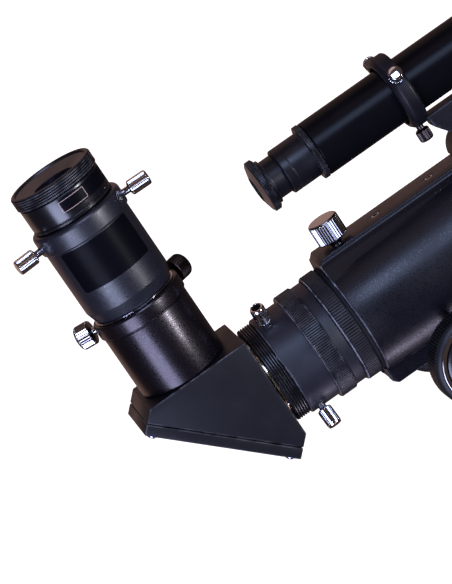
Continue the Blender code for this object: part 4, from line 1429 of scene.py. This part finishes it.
@dataclass
class Drawtube(SubAssembly):
    """The drawtube with its end ring, and the adapter and threaded collar on it."""

    places: Places
    ring_ribs: int = 132
    grip_ribs: int = 152
    nose_bore: float = 16.2
    screw_station: float = -28.4
    screws: dict[str, float] = field(default_factory=lambda: {"upper": 22.5, "lower": 150.0})

    def build(self) -> None:
        """Build the sliding pieces and the clamp screws."""
        line = self.places.optical
        self.add("drawtube_shell", turned(line, [(-7.0, 20.8), (-6.8, 21.0), (125, 21.0)],
                                          [(-7.0, 18.8), (125, 18.8)], 160, 0.2, lining=True),
                 CHROME, "drawtube", "drawtube", lining=FLAT_BLACK)
        ring = turned(line, [(-7.3, 23.2), (-6.8, 23.8), (-6.7, 23.5), (-0.8, 23.5), (-0.5, 23.2)],
                      [(-7.3, 21.35), (-0.5, 21.35)], self.ring_ribs, 0.08, ribs=[Ribs(-6.6, -0.9, 23.5, 0.35, 0.2)])
        mark(ring, line, (-7.35, -6.95), (23.15, 30.0), 2)
        self.add("drawtube_end_ring", ring, RIBBED_ANODISED, "drawtube", "drawtube_ring", lining=SHADED_GROOVE,
                 edge_or_face=WORN_EDGE)
        self.build_adapter(line)
        low, high = -38.7, -32.9
        collar = turned(
            line, [(low, 20.5), (low + 0.3, 20.9)] + ridged(low + 0.4, high - 0.2, 21.0, 0.6, 5)
            + [(high, 20.6)], [(low, self.nose_bore + 0.5), (low + 0.5, self.nose_bore), (high, self.nose_bore)],
            144, 0.06)
        # The thread's grooves take painted shade.
        mark(collar, line, (low + 0.3, high), (20.2, 20.85), 1)
        self.add("collar_thread", collar, SMOOTH_ANODISED, "drawtube", "thread_collar", lining=SHADED_GROOVE)

    def build_adapter(self, line: Line) -> None:
        """The adapter with its ribbed grip, and its two clamp screws.

        Args:
            line: the optical axis.
        """
        outer = [(-32.6, 21.2), (-32.1, 21.65), (-19.85, 21.65), (-19.7, 22.9), (-19.3, 23.3), (-19.15, 23.0),
                 (-12.6, 23.0), (-12.4, 23.2), (-12.0, 22.6), (-7.6, 22.6), (-7.6, 18.4), (3.0, 18.4)]
        inner = [(-32.6, self.nose_bore + 0.5), (-32.1, self.nose_bore), (-8.0, self.nose_bore), (-5.0, 15.0),
                 (3.0, 15.0)]
        body = turned(line, outer, inner, self.grip_ribs, 0.22,
                      ribs=[Ribs(-19.1, -12.7, 23.0, 0.38, 0.22)])
        lines = {label: self.places.across_axis(self.screw_station, angle) for label, angle in
                 self.screws.items()}
        drills = [turned(way, [(14, 1.75), (24, 1.75)], steps=32, soft=0.0) for way in lines.values()]
        body = combined(body, drills, Operation.CUT)
        mark(body, line, (-19.8, -19.4), (22.8, 30.0), 2)
        mark(body, line, (-32.65, -32.3), (20.9, 30.0), 2)
        self.add("adapter_body", body, ADAPTER_PLASTIC, "drawtube", "eyepiece_adapter", lining=SHADED_GROOVE,
                 edge_or_face=WORN_EDGE)
        for label, way in lines.items():
            style = ScrewEnd.SOCKET if label == "upper" else ScrewEnd.FLAT
            screw = Thumbscrew(16.25, 23.2, 31.2, 3.0, 1.55, 18, style)
            self.add(f"adapter_thumbscrew_{label}", screw.shape(way), CHROME, f"adapter_screw_{label}",
                     f"adapter_screw_{label}", lining=SHADED_SOCKET)


@dataclass
class FocusKnobs(SubAssembly):
    """The cross shaft with a ribbed knob, a trim ring and a cap at each end."""

    places: Places
    inner: float = 28.0
    outer: float = 42.0
    radius: float = 20.0
    ribs: int = 104
    rib_depth: float = 0.5

    def build(self) -> None:
        """Build the shaft and both knobs."""
        shaft = turned(self.places.pinion_line(Towards.LEFT), [(-39.7, 2.2), (-39.3, 2.5), (39.3, 2.5),
                                                               (39.7, 2.2)], steps=48, soft=0.1)
        self.add("cross_shaft", shaft, STEEL, "pinion", "pinion_shaft")
        for label, towards in (("right", Towards.RIGHT), ("left", Towards.LEFT)):
            self.build_knob(label, self.places.pinion_line(towards))

    def build_knob(self, label: str, line: Line) -> None:
        """One knob with its trim ring and cap.

        Args:
            label: which side it is on.
            line: the knobs' axis, from the middle outwards.
        """
        ground = self.radius - self.rib_depth
        low, high, floor = self.inner, self.outer, self.outer - 2
        knob = turned(line, [(low, 18.2), (low + 1.0, ground - 0.5), (low + 1.5, ground), (high - 1.7, ground),
                             (high - 1.1, ground - 0.5), (high - 0.4, 18.0), (high - 0.4, 17.6)],
                      [(low, 2.8), (floor, 2.8), (floor, 15.9), (high - 0.4, 15.9)], self.ribs, 0.25,
                      ribs=[Ribs(low + 1.6, high - 1.8, ground, self.rib_depth, 0.2)])
        self.add(f"{label}_knob_grip", knob, RUBBER, "pinion", f"{label}_focus_knob", lining=SHADED_GROOVE)
        ring = turned(line, [(high - 0.7, 17.4), (high - 0.1, 17.4), (high, 17.2)],
                      [(high - 0.7, 15.75), (high - 0.2, 15.75), (high, 15.95)], 128, 0.12)
        self.add(f"{label}_knob_trim", ring, CHROME, "pinion")
        cap = turned(line, [(floor + 0.3, 15.5), (high - 0.5, 15.5), (high - 0.1, 15.1), (high + 0.4, 13.6),
                            (high + 0.8, 9.0), (high + 0.8, 0.0)], steps=128, soft=0.3)
        self.add(f"{label}_knob_disc", cap, GLOSS_BLACK, "pinion", f"{label}_knob_cap")


@dataclass
class StarDiagonal(SubAssembly):
    """The star diagonal: prism housing and cover, nosepiece, upright tube and screws."""

    places: Places
    apex: Point = (-39.8, 21.9)
    leg: float = 44.1
    corner_cut: float = 10.4
    cover_thickness: float = 4.5
    half_width: float = 18.5
    screw_height: float = 53.0
    screws: dict[str, float] = field(default_factory=lambda: {"left": 160.0, "right": 30.0})

    def build(self) -> None:
        """Build every piece of the diagonal."""
        self.build_housing()
        self.build_nosepiece()
        self.build_tube()

    @staticmethod
    def shifted(point: Point, distance: float) -> Point:
        """A point of the side view moved square to the long face, outwards.

        Args:
            point: the point.
            distance: how far it moves.

        Returns:
            The moved point.
        """
        step = distance / math.sqrt(2)
        return point[0] - step, point[1] - step

    def prism_slab(self, corners: Outline, half_width: float, soft: float) -> bmesh.types.BMesh:
        """A slab whose corners list (station, height)."""
        outline = [self.places.point(station, -half_width, height) for station, height in corners]
        return slab(outline, Vector((0, 2 * half_width * MM, 0)), soft)

    def build_housing(self) -> None:
        """The housing, its cover on the long face and the cover's corner screws."""
        apex = self.apex
        back, front = (apex[0] - self.leg, apex[1]), (apex[0], apex[1] - self.leg)
        seam = self.corner_cut - self.cover_thickness - 0.3
        shell = self.prism_slab([apex, back, self.shifted(back, seam), self.shifted(front, seam), front],
                                self.half_width, 0.45)
        inner = (apex[0] - 3.0, apex[1] - 3.0)
        ends = (back[0] + 1.9, inner[1]), (inner[0], front[1] + 1.9)
        cavity = self.prism_slab([inner, ends[0], self.shifted(ends[0], 10), self.shifted(ends[1], 10), ends[1]],
                                 self.half_width - 3.0, 0.0)
        eye_hole = turned(self.places.eye_line, [(apex[1] - 5, 16.3), (apex[1] + 1, 16.3)], steps=96, soft=0.0)
        nose_hole = turned(self.places.optical, [(apex[0] - 5, 14.4), (apex[0] + 1, 14.4)], steps=96, soft=0.0)
        shell = combined(shell, [cavity, eye_hole, nose_hole], Operation.CUT)
        self.add("prism_housing", shell, MOULDED, "diagonal", "diagonal_housing")

        near, far = seam + 0.3, self.corner_cut
        plate = self.prism_slab([self.shifted(back, near), self.shifted(back, far), self.shifted(front, far),
                                 self.shifted(front, near)], self.half_width, 0.45)
        self.add("prism_cover", plate, MOULDED, "diagonal", "diagonal_cover")
        outwards = Vector((-1, 0, -1)).normalized()
        heads = []
        for end, inwards in ((back, 1), (front, -1)):
            foot = self.shifted(end, far)
            along = 3.6 * inwards / math.sqrt(2)
            for side in (-14.6, 14.6):
                place = self.places.point(foot[0] + along, side, foot[1] - along)
                heads.append(Focuser.pan_head(Line(place, outwards), 2.1, 1.2))
        self.add("prism_cover_screws", merged(heads), CHROME, "diagonal")

    def build_nosepiece(self) -> None:
        """The chrome nosepiece, with its undercut."""
        shoulder = self.apex[0] + 0.3
        nose = turned(self.places.optical,
                      [(shoulder - 7.0, 14.0), (shoulder, 14.0), (shoulder, 15.4), (shoulder + 0.4, 15.875),
                       (-26.0, 15.875), (-25.6, 15.4), (-22.4, 15.4), (-22.0, 15.875), (-10.5, 15.875),
                       (-10.0, 15.4)], [(shoulder - 7.0, 12.8), (-10.4, 12.8), (-10.0, 13.2)], 128, 0.15,
                      lining=True)
        self.add("nosepiece_barrel", nose, CHROME, "nosepiece", "diagonal_nosepiece", lining=FLAT_BLACK)
        glints = turned(self.places.optical, [(shoulder + 0.12, 17.0), (shoulder + 0.55, 17.0)],
                        [(shoulder + 0.12, 16.2), (shoulder + 0.55, 16.2)], 96, 0.08)
        self.add("nosepiece_washer", glints, BRASS, "nosepiece")

    def build_tube(self) -> None:
        """The upright tube with its collar and two clamp screws."""
        base = self.apex[1] + 0.3
        outer = [(17.5, 15.9), (base, 15.9), (base, 18.1), (base + 0.5, 18.35), (49.45, 18.35), (49.6, 18.0),
                 (50.0, 18.0), (50.2, 19.0), (50.5, 19.15), (55.3, 19.15), (55.9, 18.9), (56.2, 18.5)]
        inner = [(17.5, 13.5), (26.0, 13.5), (26.0, 16.2), (55.7, 16.2), (56.2, 16.6)]
        tube = turned(self.places.eye_line, outer, inner, 160, 0.16)
        lines = {label: self.places.across_eye(self.screw_height, angle) for label, angle in
                 self.screws.items()}
        drills = [turned(line, [(14, 1.75), (21, 1.75)], steps=32, soft=0.0) for line in lines.values()]
        self.add("diagonal_barrel", combined(tube, drills, Operation.CUT), ANODISED, "diagonal",
                 "diagonal_tube")
        for label, line in lines.items():
            screw = Thumbscrew(16.25, 21.2, 27.6, 5.0, 1.55, 28, ScrewEnd.FLAT, 0.36)
            # The right screw sits in shade and takes the shaded chrome, with painted highlights on its ribs.
            finish = CHROME if label == "left" else SHADED_CHROME
            self.add(f"diagonal_thumbscrew_{label}", screw.shape(line), finish, f"diagonal_screw_{label}",
                     f"diagonal_screw_{label}", lining=SHADED_SOCKET)


@dataclass
class Barlow(SubAssembly):
    """The Barlow: its body with collar and label, chrome barrel, lens and screws."""

    places: Places
    start: float = 57.0
    radius: float = 18.37
    collar: Point = (90.0, 98.0)
    screw_height: float = 93.0
    label: tuple[float, float, float, float] = (71.5, 89.2, -141.0, -38.0)
    screws: dict[str, float] = field(default_factory=lambda: {"left": 190.0, "right": -5.0})

    def build(self) -> None:
        """Build every piece of the Barlow."""
        line, (low, high) = self.places.eye_line, self.collar
        outer = [(self.start, 16.7), (self.start + 0.4, 17.0), (61.6, 18.25), (62.0, self.radius),
                 (low - 0.35, self.radius), (low - 0.2, self.radius + 0.1), (low, 19.15), (low + 0.3, 19.3),
                 (high - 1.6, 19.3), (high - 0.7, 19.05), (high - 0.15, 18.4), (high, 17.9)]
        inner = [(self.start, 15.0), (68.0, 15.0), (70.0, 16.2), (high - 0.5, 16.2), (high, 16.7)]
        lines = {label: self.places.across_eye(self.screw_height, angle) for label, angle in
                 self.screws.items()}
        body = combined(turned(line, outer, inner, 160, 0.3),
                        [turned(way, [(14, 1.65), (21, 1.65)], steps=32, soft=0.0) for way in lines.values()],
                        Operation.CUT)
        self.add("barlow_shell", body, SATIN_PLASTIC, "barlow", "barlow_body")
        bottom, top, start, end = self.label
        self.add("barlow_label", wrapped_panel(line, bottom, top, start, end, self.radius + 0.05, 1.1),
                 LABEL_FILM, "barlow")
        shoulder = self.start - 0.3
        barrel = [(26.3, 15.4), (26.8, 15.875), (36.0, 15.875), (36.4, 15.4), (39.6, 15.4), (40.0, 15.875),
                  (shoulder, 15.875), (shoulder, 14.6), (66.0, 14.6)]
        self.add("barlow_nosepiece", turned(
            line, barrel, [(26.3, 14.3), (40.0, 14.3), (42.0, 12.0), (66.0, 12.0)], 128, 0.15, lining=True),
            CHROME, "barlow", "barlow_barrel", lining=FLAT_BLACK)
        self.add("barlow_element", OpticalTube.lens(line, 30.0, 36.0, 14.0, 1.2, -1.2), COATED_GLASS, "barlow",
                 "barlow_lens")
        washer = turned(line, [(56.3, 17.1), (56.42, 17.5), (56.6, 17.1), (56.78, 17.5), (56.9, 17.1)],
                        [(56.3, 16.1), (56.9, 16.1)], 128, 0.04)
        self.add("barlow_washer", washer, CHROME, "barlow")
        for label, way in lines.items():
            screw = Thumbscrew(16.25, 22.0, 30.8, 3.1, 1.45, 18, ScrewEnd.DOMED, 0.3)
            self.add(f"barlow_thumbscrew_{label}", screw.shape(way), CHROME, f"barlow_screw_{label}",
                     f"barlow_screw_{label}", lining=SHADED_SOCKET)


@dataclass
class Eyepiece(SubAssembly):
    """The eyepiece: gloss body with its barrel, ribbed rim and recessed lens."""

    places: Places
    shoulder: float = 98.4
    radius: float = 17.15
    rim: Point = (109.5, 114.9)
    rim_radius: float = 17.66
    ridges: int = 5
    knurls: int = 150
    panel: tuple[float, float, float, float] = (102.8, 107.3, -104.5, -66.0)

    def build(self) -> None:
        """Build every piece of the eyepiece."""
        line, (low, high) = self.places.eye_line, self.rim
        end = low - 0.3
        outer = [(72.0, 15.4), (72.5, 15.875), (self.shoulder, 15.875), (self.shoulder, 16.9),
                 (self.shoulder + 0.25, self.radius - 0.15), (self.shoulder + 1.2, self.radius - 0.15),
                 (self.shoulder + 1.35, self.radius - 0.35), (self.shoulder + 1.6, self.radius - 0.35),
                 (self.shoulder + 1.8, self.radius), (end - 0.3, self.radius), (end, self.radius - 0.3)]
        body = turned(line, outer, [(72.0, 14.3), (103.5, 14.3), (104.0, 12.0), (end, 12.0)], self.knurls, 0.12,
                      ribs=[Ribs(self.shoulder + 0.3, self.shoulder + 1.15, self.radius - 0.15, 0.14, 0.22)])
        self.add("eyepiece_barrel", body, GLOSS_BLACK, "eyepiece", "eyepiece_body", lining=SHADED_GROOVE)
        bottom, top, start, finish = self.panel
        frame = wrapped_panel(line, bottom, top, start, finish, self.radius + 0.07, 0.4, 0.22, 0.12)
        self.add("eyepiece_print", frame, PRINTED_LINE, "eyepiece")
        film = wrapped_panel(line, bottom - 0.6, top + 0.9, start + 2, finish + 54, self.radius + 0.03, 0.5)
        self.add("eyepiece_label", film, LABEL_FILM, "eyepiece")
        self.build_rim(line, low, high)
        self.add("eye_element", OpticalTube.lens(line, 104.3, 108.2, 11.7, 0.0, 0.9), COATED_GLASS, "eyepiece",
                 "eye_lens")
        stop = turned(line, [(108.6, 12.2), (109.9, 12.2)], [(108.6, 8.6), (109.2, 8.2), (109.9, 9.2)], 96, 0.1)
        self.add("eye_lens_ring", stop, GLOSS_BLACK, "eyepiece")

    def build_rim(self, line: Line, low: float, high: float) -> None:
        """The ridged and knurled rim with its sloping recess.

        Args:
            line: the eyepiece's axis.
            low: the rim's lower edge.
            high: its upper edge.
        """
        ground = self.rim_radius - 0.14
        outline = [(low, 16.9)] + ridged(low + 0.1, high - 0.5, ground, 0.62, self.ridges)
        outline += [(high - 0.25, ground - 0.2), (high, 16.7), (high, 16.2)]
        inner = [(low, 12.4), (low + 0.55, 12.4), (low + 0.55, 8.8), (low + 2.2, 8.8), (high - 1.0, 15.5),
                 (high - 0.3, 15.8)]
        pitch = (high - 0.6 - low) / self.ridges
        bands = [Ribs(low + 0.1 + pitch * (index + 0.34), low + 0.1 + pitch * (index + 0.66), ground, 0.14, 0.2)
                 for index in range(self.ridges)]
        rim = turned(line, outline, inner, self.knurls, 0.05, ribs=bands)
        # The grooves between the ridges take painted shade.
        mark(rim, line, (low + 0.1, high - 0.5), (16.8, ground - 0.2), 1)
        # The sloping dish takes a painted reflection.
        mark(rim, line, (low + 2.1, high - 0.9), (8.7, 15.6), 2)
        self.add("eyepiece_grip", rim, RIM_RUBBER, "eyepiece", "eyepiece_rim", lining=SHADED_GROOVE, edge_or_face=PAINTED_SHEEN)


@dataclass
class Finder(SubAssembly):
    """The finder: its bracket, tube, sleeve, eyepiece, lenses and centring screws."""

    places: Places
    rear_ring: Point = (60.7, 68.0)
    front_ring: Point = (108.0, 116.0)
    rail_height: float = 28.3
    foot_station: float = 78.6
    foot_radius: float = 9.2
    screw_station: float = 64.3
    screws: dict[str, float] = field(default_factory=lambda: {"bottom": 180.0, "right": 60.0, "left": 300.0})

    def build(self) -> None:
        """Build every piece of the finder."""
        self.build_bracket()
        self.build_tube()
        self.build_eyepiece()

    def side(self, corners: Outline, half_width: float, soft: float) -> bmesh.types.BMesh:
        """A slab whose corners list (station, height)."""
        outline = [self.places.point(station, -half_width, height) for station, height in corners]
        return slab(outline, Vector((0, 2 * half_width * MM, 0)), soft)

    def build_bracket(self) -> None:
        """Two rings on a sloping web, whose foot has a rounded rear."""
        line, (low, high) = self.places.finder_line, self.rear_ring
        rear = turned(line, [(low, 14.0), (low + 0.5, 14.6), (low + 1.9, 15.9), (low + 2.6, 16.0),
                             (high - 1.0, 16.0), (high, 15.2)], [(low, 13.2), (high, 13.2)], 128, 0.35)
        start, end = self.front_ring
        front = turned(line, [(start, 15.5), (end, 15.5)], [(start, 12.0), (end, 12.0)], 128, 0.6)
        web = self.side([(62.5, 49.5), (68.2, 47.6), (68.4, 44.5), (73.4, 38.0), (78, 36), (78, 30), (97, 30),
                         (98, 38), (104, 45), (113.5, 48.7), (113.5, 50.6), (107, 49.3)], 4.0, 0.9)
        base, radius = self.rail_height + 0.3, self.foot_radius
        arc = [math.radians(180 - index * 7.5) for index in range(13)]
        dome = [(self.foot_station + radius * math.cos(angle), base + radius * math.sin(angle)) for angle in arc]
        foot = self.side([*dome, (84, base + radius), (86, base + 6.2), (87.4, base + 5), (100, base + 4),
                          (102, base + 2), (102, base)], 8.8, 0.8)
        bracket = combined(rear, [front, web, foot], Operation.ADD)
        lines = {label: self.places.across_axis(self.screw_station, angle, self.places.finder_height)
                 for label, angle in self.screws.items()}
        drills = [turned(way, [(11, 1.75), (18, 1.75)], steps=32, soft=0.0) for way in lines.values()]
        self.add("finder_carrier", combined(bracket, drills, Operation.CUT), MOULDED, "tube", "finder_bracket")
        heads = [Focuser.pan_head(Line(self.places.point(94.0, side, base + 4.5), Towards.UP.vector), 2.0, 1.1)
                 for side in (-6.2, 6.2)]
        self.add("finder_foot_screws", merged(heads), CHROME, "tube")
        for label, way in lines.items():
            screw = Thumbscrew(11.9, 17.7, 22.9, 2.9, 1.5, 18, ScrewEnd.DOMED)
            # The bottom screw sits in shade and takes the shaded chrome, with painted highlights on its ribs.
            finish = SHADED_CHROME if label == "bottom" else CHROME
            self.add(f"finder_thumbscrew_{label}", screw.shape(way), finish, f"finder_screw_{label}",
                     f"finder_screw_{label}", lining=SHADED_SOCKET)

    def build_tube(self) -> None:
        """The finder's tube with its bell, the rear sleeve and the front lens."""
        line = self.places.finder_line
        tube = turned(line, [(25.1, 11.4), (25.4, 11.6), (118.0, 11.6), (119.5, 11.9), (124.5, 14.5), (126.5, 15.0),
                             (149.0, 15.2), (150.3, 15.15), (150.6, 14.9)],
                      [(25.1, 10.0), (117, 10.0), (127, 13.7), (150.2, 13.9), (150.6, 14.2)], 144, 0.15,
                      lining=True)
        self.add("finder_shell", tube, FINDER_ENAMEL, "finder", "finder_tube", lining=FLAT_BLACK)
        sleeve = turned(line, [(9.5, 9.2), (9.9, 9.6), (13.0, 9.6), (13.1, 9.52), (13.3, 9.52), (13.4, 9.6),
                               (22.2, 9.6), (22.3, 11.2), (22.6, 11.5), (24.5, 11.5), (24.8, 11.3),
                               (24.8, 9.7), (34, 9.7)], [(9.5, 8.6), (34, 8.6)], 96, 0.1,
                        ribs=[Ribs(22.65, 24.45, 11.5, 0.3, 0.2)])
        self.add("finder_sleeve_body", sleeve, FINDER_PLASTIC, "finder", "finder_sleeve", lining=SHADED_GROOVE)
        self.add("finder_front_element", OpticalTube.lens(line, 140.0, 143.0, 13.3, -0.8, 0.9), COATED_GLASS,
                 "finder", "finder_objective")

    def build_eyepiece(self) -> None:
        """The finder's draw eyepiece with its knurled rim and lens."""
        line = self.places.finder_line
        outer = [(-2.1, 5.5), (-1.9, 6.1), (-0.9, 10.0), (-0.55, 10.55), (-0.2, 10.8), (2.1, 10.8), (2.4, 10.5),
                 (2.7, 10.2), (2.7, 9.4), (3.9, 9.4), (4.1, 8.25), (32, 8.25)]
        inner = [(-2.1, 5.3), (-1.8, 5.1), (1.2, 5.1), (1.6, 7.2), (32, 7.2)]
        rim = turned(line, outer, inner, 84, 0.14, ribs=[Ribs(-0.15, 2.05, 10.8, 0.3, 0.2)])
        # The eye face takes a painted reflection.
        mark(rim, line, (-2.2, -0.7), (5.6, 10.3), 2)
        self.add("finder_eyepiece_body", rim, FINDER_PLASTIC, "finder_ocular", "finder_eyepiece", lining=SHADED_GROOVE,
                 edge_or_face=PAINTED_SHEEN)
        self.add("finder_eye_element", OpticalTube.lens(line, 2.0, 5.0, 6.9, -0.3, 0.6), COATED_GLASS,
                 "finder_ocular", "finder_eye_lens")


# --------------------------------------------------------------------------- studio


@dataclass(frozen=True)
class Softbox:
    """A rectangular studio light.

    Args:
        name: its name.
        rightwards: its direction's share to the right of the view.
        upwards: its share upwards in the view.
        backwards: its share towards the camera.
        distance: how far it stands from what it lights, in metres.
        size: its width and height in metres.
        power: its power in watts.
        colour: its colour.
    """

    name: str
    rightwards: float
    upwards: float
    backwards: float
    distance: float
    size: tuple[float, float]
    power: float
    colour: tuple[float, float, float]


@dataclass
class Studio:
    """A pale floor, soft lights and the camera."""

    places: Places
    camera_point: tuple[float, float, float] = (-107.93, -1035.71, 328.81)
    target: tuple[float, float, float] = (-33.68, 0.0, 37.32)
    roll: float = 34.05
    lens: float = 223.35
    floor_size: float = 24.0
    surround: tuple[float, float, float] = (0.07, 0.048, 0.042)
    backdrop: tuple[float, float, float] = (0.97, 0.965, 0.96)
    lights: tuple[Softbox, ...] = (
        Softbox("front_low_light", -0.22, -0.69, 0.69, 1.5, (0.8, 0.95), 29.0, (0.6, 0.67, 1.0)),
        Softbox("right_light", 0.695, 0.216, 0.686, 1.5, (0.2, 0.5), 15.0, (0.9, 0.93, 1.0)),
        Softbox("upper_light", -0.1, 0.37, 0.924, 1.6, (0.9, 0.6), 19.0, (0.5, 0.62, 1.0)),
        Softbox("underside_light", 0.588, -0.751, -0.303, 1.5, (0.5, 0.2), 5.0, (0.8, 0.72, 1.0)),
        Softbox("overhead_light", -0.39, 0.74, 0.55, 1.8, (1.4, 0.7), 2.0, (1.0, 0.7, 0.62)),
        Softbox("ceiling_light", -0.5, 0.78, -0.37, 2.0, (1.4, 1.0), 2.2, (1.0, 0.64, 0.56)),
        Softbox("backdrop_light", -0.434, -0.352, -0.826, 2.2, (1.6, 1.6), 3.6, (1.0, 0.62, 0.5)),
        Softbox("rear_light", -0.29, 0.43, -0.856, 2.2, (2.4, 1.8), 4.0, (1.0, 0.6, 0.52)),
    )

    def build(self) -> None:
        """Set up the camera, the floor, the lights and the surroundings."""
        scene = bpy.context.scene
        scene.view_settings.view_transform = "Standard"
        target = self.places.point(*self.target)
        place = self.places.point(*self.camera_point)
        forward = (target - place).normalized()
        level = forward.cross(Vector((0, 0, 1))).normalized()
        turn = Matrix.Rotation(math.radians(-self.roll), 3, -forward)
        right = turn @ level
        up = right.cross(forward)
        self.build_camera(scene, place, right, up, forward)
        for light in self.lights:
            self.build_light(scene, light, target, right, up, forward)
        self.build_floor()
        self.build_surroundings(scene)

    def build_camera(self, scene: bpy.types.Scene, place: Vector, right: Vector, up: Vector,
                     forward: Vector) -> None:
        """Make the camera at its place, looking forward with the given right and up.

        Args:
            scene: the scene.
            place: the camera's place.
            right: its right.
            up: its up.
            forward: its line of sight.
        """
        data = bpy.data.cameras.new("camera")
        data.sensor_fit = "HORIZONTAL"
        data.sensor_width = 36.0
        data.lens = self.lens
        data.clip_end = 60.0
        camera = bpy.data.objects.new("camera", data)
        scene.collection.objects.link(camera)
        axes = Matrix((right, up, -forward)).transposed().to_4x4()
        camera.matrix_world = Matrix.Translation(place) @ axes
        scene.camera = camera

    @staticmethod
    def build_light(scene: bpy.types.Scene, light: Softbox, target: Vector, right: Vector, up: Vector,
                    forward: Vector) -> None:
        """Stand one softbox and turn it to the target.

        Args:
            scene: the scene.
            light: the softbox.
            target: what it lights.
            right: the view's right.
            up: the view's up.
            forward: the view's line of sight.
        """
        data = bpy.data.lights.new(light.name, "AREA")
        data.shape = "RECTANGLE"
        data.size, data.size_y = light.size
        data.energy = light.power
        data.color = light.colour
        lamp = bpy.data.objects.new(light.name, data)
        way = (right * light.rightwards + up * light.upwards - forward * light.backwards).normalized()
        lamp.location = target + way * light.distance
        lamp.rotation_euler = way.to_track_quat("Z", "Y").to_euler()
        scene.collection.objects.link(lamp)

    def build_surroundings(self, scene: bpy.types.Scene) -> None:
        """Pale behind the telescope, and a dim room in its reflections.

        Args:
            scene: the scene.
        """
        world = bpy.data.worlds.new("surroundings")
        world.use_nodes = True
        tree = world.node_tree
        ray = tree.nodes.new("ShaderNodeLightPath")
        seen = FinishShop.tinted(tree, ray.outputs["Is Camera Ray"], self.surround, self.backdrop)
        tree.links.new(seen, tree.nodes["Background"].inputs["Color"])
        scene.world = world

    def build_floor(self) -> None:
        """The pale floor, a translucent table that light comes through from below."""
        shape = bmesh.new()
        bmesh.ops.create_grid(shape, x_segments=4, y_segments=4, size=self.floor_size / 2)
        bmesh.ops.translate(shape, verts=shape.verts, vec=(0, 0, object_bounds()[0].z))
        mesh = bpy.data.meshes.new("floor")
        shape.to_mesh(mesh)
        shape.free()
        material = bpy.data.materials.new("pale_floor")
        material.use_nodes = True
        shader = material.node_tree.nodes["Principled BSDF"]
        shader.inputs["Base Color"].default_value = (0.86, 0.84, 0.82, 1.0)
        shader.inputs["Roughness"].default_value = 0.9
        shader.inputs["Specular IOR Level"].default_value = 0.1
        shader.inputs["Emission Color"].default_value = (1.0, 0.985, 0.97, 1.0)
        shader.inputs["Emission Strength"].default_value = 1.05
        mesh.materials.append(material)
        floor = bpy.data.objects.new("floor", mesh)
        floor.visible_glossy = False
        floor.visible_diffuse = False
        floor.visible_shadow = False
        bpy.context.scene.collection.objects.link(floor)
        floor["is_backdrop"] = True


def main() -> None:
    """Dress the frame and light it."""
    logging.basicConfig(level=logging.INFO, format="%(name)s %(message)s")
    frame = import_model()
    places = Places.of_frame()
    for assembly in (Cradle(places), OpticalTube(places), Focuser(places), Drawtube(places), FocusKnobs(places),
                     StarDiagonal(places), Barlow(places), Eyepiece(places), Finder(places)):
        assembly.build()
    nodes = frame["nodes"]
    for name, finish in (("tension_pad", LOW_FRICTION), ("rack", STEEL), ("pinion_gear", BRASS),
                         ("diagonal_prism", COATED_GLASS)):
        SubAssembly.dress(nodes[name], finish)
    Studio(places).build()


if __name__ == "__main__":
    main()
